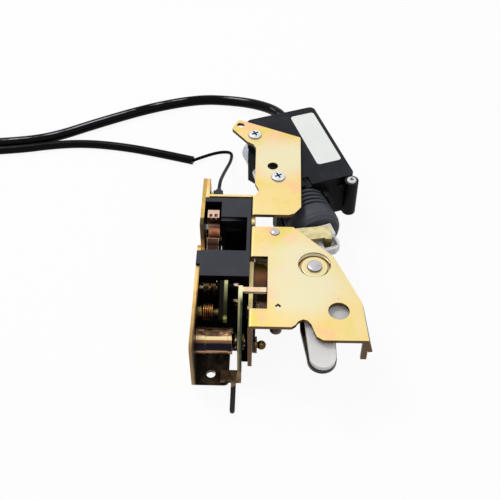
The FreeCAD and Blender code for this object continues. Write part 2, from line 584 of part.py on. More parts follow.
# lock lever: steel plate under the white tongue
lock_lever = Piece("lock_lever", at=("main_x", "main_y", "0"))
lock_lever.pad("XY", [ring("0", "0", "10"), ring("3", "-62.3", "8.4")],
               "lock_low", "lock_high")
lock_lever.pad("XY", [[("-5.4", "-62"), ("-9", "-42"), ("-9.6", "0"), ("9.6", "0"),
                       ("20", "-24"), ("21.5", "-34"), ("20.5", "-42"), ("11.4", "-48"),
                       ("11.4", "-62.3")]],
               "lock_low", "lock_high")
lock_lever.pad("XY", [[("4.6", "3.9"), ("-11.4", "21.1"), ("-19.1", "14.7"),
                       ("-4.6", "-3.9")]], "lock_low", "lock_high")
lock_lever.pocket("XY", [ring("0", "0", "main_rivet_r + run_gap"),
                         [("-12.78", "18.55"), ("-16.28", "15.57"), ("-12.52", "11.15"),
                          ("-9.02", "14.13")]], "lock_low - 1", "lock_high")
tongue = Piece("lock_tongue", at=("main_x", "main_y", "0"))
tongue.pad("XY", [ring("0", "0", "9"), ring("3.3", "-62.8", "7.5")],
           "lock_high", "tongue_high")
tongue.pad("XY", [[("-4.2", "-62.8"), ("-6.2", "-43"), ("-8.7", "0"), ("8.7", "0"),
                   ("19.2", "-23"), ("20.6", "-33"), ("19.6", "-41.4"), ("10.8", "-47.4"),
                   ("10.8", "-62.8")]], "lock_high", "tongue_high")
tongue.pocket("XY", [ring("0", "0", "main_rivet_r + run_gap")], "lock_high - 1", "tongue_high")

# hook lever with its pin and its bent tab
hook = Piece("hook_lever")
hook.pad("XY", [ring("hook_x", "hook_y", "6"), ring("60.1", "57.1", "4.4")],
         "hook_low", "hook_high")
hook.pad("XY", [[("hook_x - 3", "hook_y + 5"), ("62.7", "79.4"), ("82.9", "82.4"),
                 ("84.5", "81"), ("84.5", "72.4"), ("70.7", "69.6"), ("hook_x + 3", "hook_y - 5")]],
         "hook_low", "hook_high")
hook.pad("XY", [[("hook_x - 4.4", "hook_y - 3.9"), ("hook_x + 4.4", "hook_y + 3.9"),
                 ("63.4", "60"), ("56.8", "54.2")]], "hook_low", "hook_high")
hook.pad("XY", [ring("60.1", "57.1", "1.8")], "lock_low + 0.3", "hook_low + 1")
hook.pad("XY", [box("80.3", "84.5", "70.5", "75")], "hook_low", "hook_high")
hook.pad("XY", [box("80.3", "84.5", "70.5", "73")], "4.5", "hook_high")
hook.pocket("XY", [ring("hook_x", "hook_y", "rivet_r + run_gap")], "hook_low - 1", "hook_high")

# motor unit: case, cover, can, worm, gear, push rod and bellows
UNIT = {"at": ("unit_x", "unit_y", "0"), "turn": "unit_turn"}


def in_unit(x, y):
    """A place of the latch case in the motor unit's own axes."""
    return (f"(({x} - unit_x) * cos(unit_turn) + ({y} - unit_y) * sin(unit_turn))",
            f"(({y} - unit_y) * cos(unit_turn) - ({x} - unit_x) * sin(unit_turn))")


def from_unit(x, y, z):
    """A place on an axis of the motor unit in the latch case's axes."""
    return (f"unit_x + {x} * cos(unit_turn) - {y} * sin(unit_turn)",
            f"unit_y + {x} * sin(unit_turn) + {y} * cos(unit_turn)", z)


MID_BOSS = in_unit("screw_mid_x", "screw_mid_y")
FAR_BOSS = in_unit("screw_far_x", "screw_far_y")
case = Piece("actuator_case", **UNIT)
case.pad("XY", [box("case_left", "case_right", "0", "case_long")], "case_low", "case_split")
case.round("XY", [("case_left", "0"), ("case_left", "case_long"), ("case_right", "0"),
                  ("case_right", "case_long")], "case_round")
case.pad("XZ", [box("-21", "21", "-21", "10")], "-7", "0.5")
case.round("XZ", [("-21", "-21"), ("21", "-21"), ("-21", "10"), ("21", "10")], "9")
case.pad("XY", [ring("post_x", "post_front", "post_r")], "post_low", "17")
case.pad("XY", [[("24", "0.5"), ("post_x - 2", "post_front - 2"), ("post_x + 4", "0.5")]],
         "post_low", "case_split - 1")
case.pad("XY", [[("-8", "12"), ("-8", "56"), ("-4", "60"), ("16", "60"), ("20", "56"),
                 ("20", "16"), ("16", "12")]], "floor_z", "case_low + 1")
case.pocket("XY", [box("case_left + wall_t", "case_right - wall_t", "wall_t",
                       "case_long - wall_t")], "case_low + wall_t", "case_split")
case.pad("XY", [[("-16.9", "65.1"), ("-23.4", "47.3"), ("-20.1", "41.8"),
                 ("case_left + wall_t", "38.4"), ("case_left + wall_t", "65.1")]], "-12", "case_split")
case.pad("XY", [ring(*MID_BOSS, "boss_r")], "2", "top_z - sheet_t")
case.pad("XY", [ring(*FAR_BOSS, "boss_r")], "9.3", "top_z - sheet_t")
case.pocket("XY", [ring(*MID_BOSS, "screw_r + screw_play"),
                   ring(*FAR_BOSS, "screw_r + screw_play")], "9.8", "top_z - sheet_t")
case.pocket("XZ", [ring("motor_x", "motor_z", "motor_r")], "motor_near", "motor_far")
case.pocket("XZ", [ring("0", "rod_z", "boot_crest + 0.4")], "-9", "0")
case.pocket("XZ", [box("5.9", "10.8", "0.7", "5.3")], "-1", "4")
case.pocket("XZ", [ring("gland_x", "gland_z", "4")], "case_long - 3", "case_long + 1")
case.pocket("XY", [ring("post_x", "post_front", "1.9")], "8", "17")

cover = Piece("actuator_cover", **UNIT)
cover.pad("XY", [box("case_left", "case_right", "0", "case_long")], "case_split", "cover_high")
cover.round("XY", [("case_left", "0"), ("case_left", "case_long"), ("case_right", "0"),
                   ("case_right", "case_long")], "case_round")
cover.pocket("XY", [box("case_left + 3", "case_right - 3", "3", "case_long - 3")],
             "case_split", "cover_high - wall_t")
cover.pad("XY", [box("0.4", "7.4", "2", "9")], "cover_high - 4", "cover_high - 1")
cover.pocket("XY", [box("1.6", "6.2", "-1", "7.8")], "cover_high - 2.6", "cover_high")
cover.pocket("XY", [ring(*MID_BOSS, "boss_r + side_gap"), ring(*FAR_BOSS, "boss_r + side_gap")],
             "case_split - 1", "cover_high")

screws = Piece("bracket_screws")
SCREWS = [("screw_far_x", "screw_far_y"), ("screw_mid_x", "screw_mid_y")]
screws.pad("XY", [ring(x, y, "screw_r") for x, y in SCREWS], "9.8", "top_z + 1")
screws.pad("XY", [ring(x, y, "head_r") for x, y in SCREWS], "top_z", "top_z + 1.5")
screws.pad("XY", [ring(x, y, "head_r - 0.8") for x, y in SCREWS], "top_z + 1", "top_z + 2.4")
post_screw = Piece("post_screw", **UNIT)
post_screw.pad("XY", [ring("post_x", "post_front", "1.9")], "8", "17.5")
post_screw.pad("XY", [ring("post_x", "post_front", "3.6")], "17", "18.4")

MOTOR_AXIS = {"at": from_unit("motor_x", "0", "motor_z"), "turn": "unit_turn"}
can = Piece("motor_can", **MOTOR_AXIS)
can.lathe("Y", [("motor_near", "2.2"), ("motor_near", "motor_r - 1"),
                ("motor_near + 1", "motor_r"), ("motor_far - 1", "motor_r"),
                ("motor_far", "motor_r - 1"), ("motor_far", "0"), ("motor_near + 8", "0"),
                ("motor_near + 8", "2.2")])
worm = Piece("motor_worm", **MOTOR_AXIS)
worm.lathe("Y", [("wall_t + side_gap", "0"), ("wall_t + side_gap", "2.15"), ("5", "2.15"),
                 ("5", "worm_r"), ("18", "worm_r"), ("18", "2.15"), ("motor_near + 7", "2.15"),
                 ("motor_near + 7", "0")])
gear = Piece("drive_gear", **UNIT)
gear.pad("XY", [ring("gear_x", "gear_y", "gear_r")], "-6.5", "-0.2")
gear.pad("XY", [ring("gear_x", "gear_y", "pinion_r")], "-0.5", "5.6")
gear.pocket("XY", [ring("gear_x", "gear_y", "gear_pin_r + run_gap")], "-7", "5.6")
gear_pin = Piece("gear_pin", **UNIT)
gear_pin.pad("XY", [ring("gear_x", "gear_y", "gear_pin_r")], "case_low + wall_t", "case_split")
gear_pin.pad("XY", [ring("gear_x", "gear_y", "3")], "case_low + wall_t", "-6.8")

rod = Piece("push_rod", **UNIT)
rod.pad("XY", [[("-rod_half", "boot_front - side_gap"), ("-rod_half", "rod_end + 4"),
                ("-rod_half + 3.2", "rod_end"), ("2.2", "rod_end"), ("5.8", "rod_end + 2.4"),
                ("6.8", "rod_end + 6.4"), ("rod_half - 3", "-43"), ("rod_half - 1.5", "-37"),
                ("rod_half - 1.5", "boot_front - side_gap")]], "4.4", "rod_high")
rod.pad("XY", [box("-rod_half", "rod_half - 1.5", "-41", "boot_front - side_gap")],
        "-3", "rod_high")
rod.pad("XZ", [ring("0", "rod_z", "rod_r")], "-34", "-8")
rod.pad("XZ", [box("6.2", "10.4", "1", "5")], "-9.5", "38")
rod.pad("XZ", [box("3", "10.4", "1", "5")], "-9.5", "-8")
rod.pocket("XY", [box("-4.5", "4.6", "-50.9", "-44")], "3.5", "rod_high")

boot = Piece("bellows", at=("unit_x", "unit_y", "rod_z"), turn="unit_turn")
boot.lathe("Y", [
    ("0", "boot_inner"), ("0", "boot_crest - 0.4"), ("-1", "boot_crease"),
    ("-2.4", "boot_crest - 0.3"), ("-4", "boot_crest - 0.3"), ("-5.4", "boot_crease"),
    ("-6.7", "boot_crest - 0.1"), ("-8.2", "boot_crest - 0.1"), ("-9.5", "boot_crease"),
    ("-10.9", "boot_crest"), ("-12.3", "boot_crest"), ("-13.6", "boot_crease"),
    ("-15.4", "boot_crest - 0.2"), ("-20", "boot_crest + 0.3"), ("-24.5", "boot_crest"),
    ("-28.2", "15.9"), ("-30.6", "13.4"), ("boot_front", "11"), ("boot_front", "7.8"),
    ("-29.8", "7.8"), ("-29.4", "11.6"), ("-27", "14.2"), ("-24", "15.4"), ("-20", "15.8"),
    ("-14.6", "boot_inner")])

gland = Piece("cable_gland", at=from_unit("gland_x", "0", "gland_z"), turn="unit_turn")
gland.lathe("Y", [("case_long - 2", "0"), ("case_long - 2", "4"), ("case_long", "4"),
                  ("case_long", "6"), ("case_long + 1.5", "6"), ("case_long + 6", "5"),
                  ("case_long + 6", "0")])

# cords: conduit from the motor unit, sleeve and thin lead of the latch switch
CONDUIT = [(61.01, 203.79, -8), (54.85, 220.7, -8), (46.5, 235.8, -12.5), (32, 248.3, -17),
           (12, 256, -20), (-14, 257, -20), (-52, 245, -20), (-93, 224, -20),
           (-125, 205.5, -20), (-155, 199, -20), (-184, 196.3, -20)]
SLEEVE = [(-13.6, 183, -20.8), (-39.4, 190.4, -20.8), (-67, 197, -20.8), (-96, 200.6, -20.8),
          (-121, 198.6, -20.8), (-152, 191.6, -20.8), (-184, 188.6, -20.8)]
WIRE = [(-13.6, 183, -20.8), (-3.2, 190.2, -21.6), (7.5, 195.6, -22.6), (15.6, 194.5, -22.2),
        (15.4, 182, -19.5), (12.8, 164, -11.5), (10.9, 144, -1), (10.3, 128.5, 8),
        (10.4, 117.2, 12)]
pipe("conduit", CONDUIT, "conduit_r")
pipe("sleeve", SLEEVE, "sleeve_r")
pipe("switch_lead", WIRE, "wire_r")
plug = Piece("loom_connector")
plug.pad("XY", [box("-214", "-184", "180", "205")], "floor_z", "floor_z + 15")

doc.recompute()
os.makedirs("parts", exist_ok=True)
for item in doc.Objects:
    if any(state in item.State for state in ("Invalid", "Error")):
        raise RuntimeError(f"{item.Name} failed: {item.State}")
for node, item in PIECES.items():
    if item.Shape.isNull() or not item.Shape.isValid():
        raise RuntimeError(f"{node} has no valid shape")
    item.Shape.exportStep(f"parts/{node}.step")
print(len(PIECES), "pieces written")
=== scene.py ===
import json
import math

import bmesh
import bpy
from mathutils import Matrix, Vector

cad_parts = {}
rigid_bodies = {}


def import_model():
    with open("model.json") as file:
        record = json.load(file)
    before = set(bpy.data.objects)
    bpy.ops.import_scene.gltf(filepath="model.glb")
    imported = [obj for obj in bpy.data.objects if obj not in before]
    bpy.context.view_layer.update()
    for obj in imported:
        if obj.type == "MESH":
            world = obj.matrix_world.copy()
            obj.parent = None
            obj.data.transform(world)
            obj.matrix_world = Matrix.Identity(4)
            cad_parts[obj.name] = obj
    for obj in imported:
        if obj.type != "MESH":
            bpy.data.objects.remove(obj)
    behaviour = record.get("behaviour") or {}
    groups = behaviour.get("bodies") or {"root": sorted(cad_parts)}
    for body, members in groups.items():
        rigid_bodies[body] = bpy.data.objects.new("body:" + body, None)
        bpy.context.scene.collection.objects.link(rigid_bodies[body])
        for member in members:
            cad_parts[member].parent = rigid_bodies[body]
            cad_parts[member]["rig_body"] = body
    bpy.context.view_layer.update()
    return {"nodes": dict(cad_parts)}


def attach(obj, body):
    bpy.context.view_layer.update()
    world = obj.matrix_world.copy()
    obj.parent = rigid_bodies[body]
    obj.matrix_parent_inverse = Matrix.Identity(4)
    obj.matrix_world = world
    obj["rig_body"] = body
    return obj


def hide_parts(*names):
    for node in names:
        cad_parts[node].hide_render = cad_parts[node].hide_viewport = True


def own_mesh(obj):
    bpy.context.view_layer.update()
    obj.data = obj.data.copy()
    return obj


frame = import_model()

NODES = frame["nodes"]
MM = 0.001

# Camera
AIM = Vector((33, 55, 20)) * MM
DISTANCE = 0.520
ELEVATION = math.radians(47.6)
AZIMUTH = math.radians(1.5)
FOCAL_PX = 840.0
IMAGE_PX = 500.0


def add_camera():
    """Camera at the photograph's angle, aimed at the lever plate."""
    data = bpy.data.cameras.new("camera")
    data.sensor_width = 36.0
    data.lens = FOCAL_PX / IMAGE_PX * data.sensor_width
    data.clip_start = 0.01
    data.clip_end = 20
    camera = bpy.data.objects.new("camera", data)
    back = Vector((math.sin(AZIMUTH) * math.cos(ELEVATION),
                   -math.cos(AZIMUTH) * math.cos(ELEVATION),
                   math.sin(ELEVATION)))
    camera.location = AIM + back * DISTANCE
    camera.rotation_euler = back.to_track_quat("Z", "Y").to_euler()
    bpy.context.scene.collection.objects.link(camera)
    bpy.context.scene.camera = camera


# Shader maths
GRAIN_DEPTH = 0.00002


class Sock:
    """A shader output that takes part in Python arithmetic."""

    def __init__(self, graph, socket):
        self.graph = graph
        self.socket = socket

    def math(self, operation, *others):
        return self.graph.node("ShaderNodeMath", "Value", operation=operation,
                               inputs=dict(enumerate((self,) + others)))

    def __add__(self, other):
        return self.math("ADD", other)

    def __sub__(self, other):
        return self.math("SUBTRACT", other)

    def __mul__(self, other):
        return self.math("MULTIPLY", other)

    def __truediv__(self, other):
        return self.math("DIVIDE", other)

    def __rsub__(self, other):
        return (self * -1.0).math("ADD", other)

    __radd__ = __add__
    __rmul__ = __mul__

    def clamp(self):
        """This value held between 0 and 1."""
        return self.math("MAXIMUM", 0.0).math("MINIMUM", 1.0)

    def band(self, start, end):
        """0 before start, 1 after end, smooth between."""
        return self.graph.node("ShaderNodeMapRange", "Result",
                               interpolation_type="SMOOTHSTEP",
                               inputs={"Value": self, "From Min": start, "From Max": end})


class Graph:
    """A node tree that is written as Python expressions."""

    def node(self, kind, output, inputs=None, **settings):
        """Add any node, feed its inputs and return one of its outputs."""
        node = self.tree.nodes.new(kind)
        for key, setting in settings.items():
            setattr(node, key, setting)
        for key, given in (inputs or {}).items():
            for source in given if isinstance(given, list) else [given]:
                if isinstance(source, Sock):
                    self.tree.links.new(source.socket, node.inputs[key])
                else:
                    node.inputs[key].default_value = source
        return Sock(self, node.outputs[output])

    def parts(self, vector):
        """The X, Y and Z of a vector."""
        split = self.node("ShaderNodeSeparateXYZ", "X", inputs={"Vector": vector})
        return [Sock(self, part) for part in split.socket.node.outputs]


def linear(level):
    """Linear value of an sRGB level of 0 to 255."""
    level /= 255
    return level / 12.92 if level <= 0.04045 else ((level + 0.055) / 1.055) ** 2.4


class Look(Graph):
    """A node material, its Principled shader and the object coordinates."""

    def __init__(self, name, **fixed):
        self.material = bpy.data.materials.new(name)
        self.material.use_nodes = True
        self.tree = self.material.node_tree
        self.tree.nodes.clear()
        self.shader = self.tree.nodes.new("ShaderNodeBsdfPrincipled")
        out = self.tree.nodes.new("ShaderNodeOutputMaterial")
        self.tree.links.new(self.shader.outputs["BSDF"], out.inputs["Surface"])
        self.place = self.node("ShaderNodeTexCoord", "Object")
        for socket, number in fixed.items():
            self.shader.inputs[socket.replace("_", " ")].default_value = number

    def axis(self, letter, facing=False):
        """One coordinate in metres, or one part of the surface's own normal."""
        source = self.node("ShaderNodeTexCoord", "Normal") if facing else self.place
        return self.node("ShaderNodeSeparateXYZ", letter, inputs={"Vector": source})

    def flank(self, start=0.5, end=0.8):
        """1 on faces that look along X, to either side."""
        return self.axis("X", facing=True).math("ABSOLUTE").band(start, end)

    def distance(self, x, y):
        """Distance in metres from an upright line at a place in millimetres."""
        across = self.axis("X") - x * MM
        along = self.axis("Y") - y * MM
        return (across * across + along * along).math("SQRT")

    def run(self):
        """Y plus most of Z in metres: it falls from the far top to the near foot."""
        return self.axis("Z") * 0.915 + self.axis("Y")

    def ramp(self, source, stops):
        """Colours along a value in millimetres, from (value, colour) pairs in order."""
        colour = self.blend(0.0, stops[0][1], stops[0][1])
        for (start, _), (end, shade) in zip(stops, stops[1:]):
            colour = self.blend(source.band(start * MM, end * MM), colour, shade)
        return colour

    def noise(self, size, detail=3.0, rough=0.5, stretch=None):
        """Noise with features of a given size in metres."""
        where = self.place
        if stretch:
            where = self.node("ShaderNodeMapping", "Vector",
                              inputs={"Vector": self.place, "Scale": stretch})
        return self.node("ShaderNodeTexNoise", "Fac",
                         inputs={"Vector": where, "Scale": 1 / size, "Detail": detail,
                                 "Roughness": rough})

    def grain(self, size=0.0007):
        """Fine noise for bumps and roughness."""
        return self.noise(size, detail=2.0)

    def blend(self, factor, first, second):
        """Mix two colours by a factor; a plain colour is an sRGB triple of 0 to 255."""
        node = self.tree.nodes.new("ShaderNodeMix")
        node.data_type = "RGBA"
        for place, given in ((0, factor), (6, first), (7, second)):
            if isinstance(given, Sock):
                self.tree.links.new(given.socket, node.inputs[place])
            elif place == 0:
                node.inputs[0].default_value = given
            else:
                node.inputs[place].default_value = (*map(linear, given), 1.0)
        return Sock(self, node.outputs[2])

    def feed(self, socket, source):
        """Drive one input of the Principled shader."""
        self.tree.links.new(source.socket, self.shader.inputs[socket])

    def finish(self, colour, rough, height, depth=GRAIN_DEPTH, strength=0.4):
        """Feed the shader, with a height field of 0 to 1 as its bump in metres."""
        self.feed("Base Color", colour)
        self.feed("Roughness", rough)
        self.feed("Normal", self.node("ShaderNodeBump", "Normal",
                                      inputs={"Height": height, "Distance": depth,
                                              "Strength": strength}))
        return self.material


# Looks
MAIN = (72.6, 42.4)
PALE_CENTRES = ((66, 38, 34), (51, 142, 24))
GOLD = (248, 218, 140)
PALE = (238, 232, 196)
ROSE = (252, 206, 152)
# the next two are painted shade tones: for faces that do not look up, and for faces inside the
# case
SIDE_SHADE = (92, 62, 28)
CASE_SHADE = (40, 30, 15)


def zinc_look(name, face=GOLD, pale=PALE, rose=ROSE, edge=SIDE_SHADE, inner_shade=CASE_SHADE, grime=0.25):
    """Yellow passivated zinc, pale in the middle of a flat and rosy at its rim."""
    look = Look(name, Metallic=0.55, IOR=1.45)
    drift = look.noise(0.030, detail=1.0)
    cloud = look.noise(0.011)
    near = 0.0
    for x, y, reach in PALE_CENTRES:
        near = 1.0 - look.distance(x, y).band(reach * 0.45 * MM, reach * 1.25 * MM) + near
    near = (near + (drift - 0.5) * 1.3).clamp()
    colour = look.blend((drift + (cloud - 0.5) * 0.7).band(0.34, 0.52), rose,
                        face)
    colour = look.blend((cloud - drift * 0.3).band(0.34, 0.52) * 0.6, colour,
                        (230, 214, 96))
    colour = look.blend(near * 0.85, colour, pale)
    stain = look.noise(0.0032, detail=4.0).band(0.64, 0.82)
    colour = look.blend(stain * grime, colour, (150, 112, 62))
    # painted shade: the recess round the pivot washer darkens towards its wall on the far side
    off = look.distance(MAIN[0], MAIN[1])
    sunk = (1.0 - look.axis("Z").band(0.0193, 0.0197)) * (1.0 - off.band(0.0104, 0.0105))
    far = (look.axis("Y") - MAIN[1] * MM).band(-0.004, 0.003)
    recess_shade = look.ramp(off, ((8.2, (232, 190, 132)), (9.0, (196, 148, 90)),
                               (9.5, (128, 88, 44)), (10.0, (92, 60, 26))))
    colour = look.blend(sunk * far, colour, recess_shade)
    # painted shade: faces that do not look up, the sheared edges among them, take the brown edge
    # tone, and faces that look along X into the case are darker still
    up = look.axis("Z", facing=True)
    side = 1.0 - up.band(0.45, 0.9)
    colour = look.blend(side, colour, edge)
    colour = look.blend(look.flank(end=0.85) * 0.9, colour, inner_shade)
    grain = look.noise(0.0009)
    return look.finish(colour, 0.30 + grain * 0.12 + cloud * 0.08, grain, strength=0.5)


def bronze_look(name, dark, mid, warm, lit=None, rough=0.26):
    """Dark passivated steel inside the case, its dark tones partly its own colour and partly
    painted shade; lit is a painted light tone on upward faces.
    """
    look = Look(name, Metallic=0.85)
    cloud = look.noise(0.006, detail=3.5)
    drift = look.noise(0.0132, detail=1.0)
    colour = look.blend(cloud.band(0.38, 0.68), dark, mid)
    colour = look.blend(drift.band(0.5, 0.7) * 0.8, colour, warm)
    # painted light: upward faces take the lit tone
    if lit:
        up = look.axis("Z", facing=True)
        colour = look.blend((up + (cloud - 0.5) * 0.25).band(0.72, 0.98), colour, lit)
    grain = look.grain()
    return look.finish(colour, rough - 0.06 + grain * 0.16, grain)


def tube_look(name, base, light):
    """Glossy black tube with a painted highlight, a broken line of light along its upper side.
    """
    look = Look(name, Specular_IOR_Level=0.06, IOR=1.5)
    streak = look.noise(0.009, stretch=(0.35, 0.6, 1.0))
    near = look.axis("Y", facing=True) * -1.0
    up = look.axis("Z", facing=True)
    # painted highlight on faces that look up and a little towards the near side, broken by noise
    line = near.band(0.05, 0.16) * (1.0 - near.band(0.24, 0.36)) * up.band(0.6, 0.9)
    colour = look.blend(line * streak.band(0.44, 0.60), base, light)
    return look.finish(colour, 0.24 + streak * 0.1, look.grain(0.0009))


def lock_plate_look():
    """The lock plate: gold outside and on its rim, with painted light along the rim, and dark
    brown inside where shade is painted.
    """
    look = Look("lock_plate_zinc", Metallic=0.6)
    cloud = look.noise(0.008)
    inner = look.axis("X", facing=True)
    outer = (inner * -1.0).band(0.5, 0.8)
    up = look.axis("Z", facing=True)
    upper = up.band(0.5, 0.8)
    streak = look.noise(0.0012, stretch=(1.0, 0.12, 0.12))
    along = look.run()
    fall = along + (cloud - 0.5) * 0.02
    # painted light: the light tone rises and falls along the rim, and the shadow tone is a
    # painted shadow line along the rim's inner edge
    light = look.ramp(fall, ((-40, (150, 124, 76)), (-12, (134, 106, 60)),
                             (6, (160, 126, 72)), (26, (206, 166, 96)),
                             (46, (240, 202, 126)), (112, (226, 190, 96)),
                             (124, (196, 160, 74))))
    shadow = look.ramp(fall, ((-12, (70, 54, 30)), (30, (96, 72, 40)),
                              (50, (214, 172, 100))))
    edge = (look.axis("X") + (streak - 0.5) * 0.0014).band(0.0013, 0.0020)
    gold = look.blend(edge, light, shadow)
    gold = look.blend(streak.band(0.58, 0.72) * 0.45, gold, (90, 66, 34))
    brown = look.blend(cloud.band(0.42, 0.66), (24, 16, 8), (70, 50, 24))
    foot = look.blend(cloud.band(0.36, 0.6), (44, 38, 32), (98, 82, 62))
    # painted shade: faces that look into the case or down are dark brown, and upward faces stay
    # gold
    colour = look.blend((inner + up.math("ABSOLUTE") * 0.5).band(0.3, 0.7), gold, brown)
    colour = look.blend(upper, colour, gold)
    colour = look.blend(upper * (1.0 - look.axis("Z").band(-0.016, -0.012)), colour, foot)
    # the face that meets the door is evenly plated
    plated = look.blend(cloud.band(0.36, 0.62), GOLD, ROSE)
    colour = look.blend(outer, colour, plated)
    # the rim beside the striker mouth darkens from brown to near black along the mouth
    mouth = along.band(0.0735, 0.0755) * (1.0 - along.band(0.1000, 0.1015)) * (1.0 - outer)
    mouth_tone = look.ramp(along, ((74, (172, 124, 58)), (80, (150, 104, 46)),
                             (83, (52, 34, 16)), (100, (34, 22, 10))))
    colour = look.blend(mouth * 0.92, colour, mouth_tone)
    grain = look.noise(0.0009)
    return look.finish(colour, 0.28 + grain * 0.14 + cloud * 0.06, grain, strength=0.5)


def bush_look():
    """The threaded bush: fine turned rings, with painted reflections in bands of bronze, cream,
    navy and copper by the way each face looks.
    """
    look = Look("bush_bronze", Metallic=0.8)
    ring = (look.axis("X") * (2 * math.pi / 0.0009)).math("SINE") * 0.5 + 0.5
    cloud = look.noise(0.0022, detail=5.0, rough=0.7, stretch=(0.30, 1.0, 1.0))
    up = look.axis("Z", facing=True)
    near = look.axis("Y", facing=True) * -1.0 + (cloud - 0.5) * 0.10
    colour = look.blend(cloud.band(0.42, 0.60), (52, 36, 24), (150, 112, 78))
    # painted reflection in bands on faces that look towards the near side: a cream highlight,
    # then brown, then dark navy
    colour = look.blend(near.band(0.24, 0.36), colour, (246, 220, 170))
    colour = look.blend(near.band(0.50, 0.60), colour, (128, 88, 50))
    colour = look.blend(near.band(0.68, 0.78), colour, (8, 9, 28))
    # painted reflection in copper on faces that look down; painted shade on the lowest faces and
    # on faces that look along X
    colour = look.blend(1.0 - up.band(0.0, 0.10), colour, (206, 152, 106))
    colour = look.blend(1.0 - up.band(-0.42, -0.30), colour, (60, 38, 20))
    colour = look.blend(look.flank(0.6, 0.9), colour, (34, 24, 14))
    return look.finish(colour, 0.24 + cloud * 0.16, ring * 0.7 + cloud * 0.3, depth=0.00005,
                       strength=0.6)


def fork_look():
    """The fork: a pale tip, a painted highlight on its shoulder, then copper that falls off to
    dark brown as painted shade.
    """
    look = Look("fork_copper", Metallic=0.7)
    cloud = look.noise(0.005, detail=3.5)
    along = look.run() + (cloud - 0.5) * 0.006
    # painted light along the run: dark brown low down, then copper, a near white painted
    # highlight at the shoulder, and the pale tip
    colour = look.ramp(along, ((60, (34, 20, 8)), (78, (58, 34, 18)),
                               (86, (112, 66, 38)), (90, (188, 122, 84)),
                               (93.5, (206, 146, 110)), (95, (255, 236, 226)),
                               (98, (190, 140, 116)), (100.5, (226, 186, 164))))
    up = look.axis("Z", facing=True)
    # painted shade on faces that look sideways or down, and on faces that look along X
    colour = look.blend(1.0 - up.band(-0.1, 0.35), colour, (44, 26, 12))
    colour = look.blend(look.flank(), colour, (46, 34, 18))
    grain = look.grain(0.0006)
    return look.finish(colour, 0.18 + grain * 0.14, grain)


def deep_look():
    """The moulding that shows deep in the lever plate's window, its tones along Y painted light
    and shade.
    """
    look = Look("deep_brown", Specular_IOR_Level=0.2)
    cloud = look.noise(0.004)
    along = look.axis("Y") + (cloud - 0.5) * 0.004
    # painted light at the window's near edge and painted shade under the lever plate
    colour = look.ramp(along, ((43, (240, 204, 166)), (46, (70, 44, 26)),
                               (58, (44, 26, 16)), (78, (90, 76, 56)),
                               (82, (150, 142, 122)), (90, (160, 152, 134))))
    return look.finish(colour, 0.5 + cloud * 0.2, cloud, depth=0.0001)


def pawl_plate_look():
    """The pawl plate: a thin olive band on its outer side, painted with light and shade along
    its run, and near black on the rest.
    """
    look = Look("pawl_plate_olive", Metallic=0.6, Specular_IOR_Level=0.15)
    cloud = look.noise(0.003, detail=3.5)
    along = look.run() + (cloud - 0.5) * 0.004
    # painted light and shade along the band: bright at both ends, dark in the middle
    band = look.ramp(along, ((10, (206, 198, 104)), (18, (150, 146, 74)),
                             (21, (28, 28, 16)), (30, (44, 44, 26)),
                             (38, (104, 104, 70)), (44, (150, 148, 106)),
                             (48, (196, 190, 140))))
    outer = look.axis("X").band(0.0180, 0.0186)
    colour = look.blend(outer, (12, 10, 8), band)
    # painted highlight: the two stubs each catch one thin painted line of light
    up = look.axis("Z", facing=True)
    line = look.blend(look.run().band(0.030, 0.034), (188, 184, 76), (232, 202, 180))
    stub = look.blend(up.band(0.70, 0.86) * (1.0 - up.band(0.97, 1.0) * 0.7),
                      (30, 24, 16), line)
    colour = look.blend(look.axis("X").band(0.0203, 0.0205), colour, stub)
    # painted shade on faces that look along X
    colour = look.blend(look.flank(), colour, (24, 24, 14))
    return look.finish(colour, 0.24 + cloud * 0.14, look.grain())


def lever_look():
    """The release lever: grey olive with a painted highlight on the shoulder where it bends, and
    painted shade on its +X side and its flanks.
    """
    look = Look("release_olive", Metallic=0.6)
    cloud = look.noise(0.004, detail=4.0, stretch=(1.0, 0.5, 0.5))
    along = look.run() + (cloud - 0.5) * 0.006
    # painted light along the lever, brightest at the shoulder where it bends
    band = look.ramp(along, ((-42, (18, 16, 16)), (-36, (112, 102, 76)),
                             (-4, (126, 116, 86)), (6, (84, 84, 58)),
                             (16, (124, 122, 88)), (26, (150, 146, 102)),
                             (33, (172, 166, 120)), (38, (240, 234, 186))))
    # painted shade on the lever's +X side
    shade = look.blend(cloud.band(0.45, 0.6), (44, 50, 30), (70, 76, 48))
    across = look.axis("X")
    tab = across.band(0.0300, 0.0310)
    colour = look.blend(across.band(0.0279, 0.0286) * (1.0 - along.band(0.030, 0.036)),
                        band, shade)
    # painted light: the tab is cream, and its faces that do not look up take a painted shade of
    # olive
    cream = look.blend(cloud.band(0.4, 0.6), (246, 208, 172), (250, 222, 190))
    colour = look.blend(tab, colour, cream)
    low = 1.0 - look.axis("Z").band(-0.0182, -0.0172)
    foot = look.blend(cloud.band(0.35, 0.65), (96, 74, 52), (150, 124, 94))
    foot = look.blend(along.band(-0.0370, -0.0350), (16, 14, 15), foot)
    colour = look.blend(low, colour, foot)
    # painted shade on faces that look along X
    colour = look.blend(look.flank(), colour, (36, 38, 22))
    side = 1.0 - look.axis("Z", facing=True).band(0.2, 0.6)
    colour = look.blend(side * tab, colour, (136, 130, 92))
    return look.finish(colour, 0.26 + cloud * 0.14, look.grain())


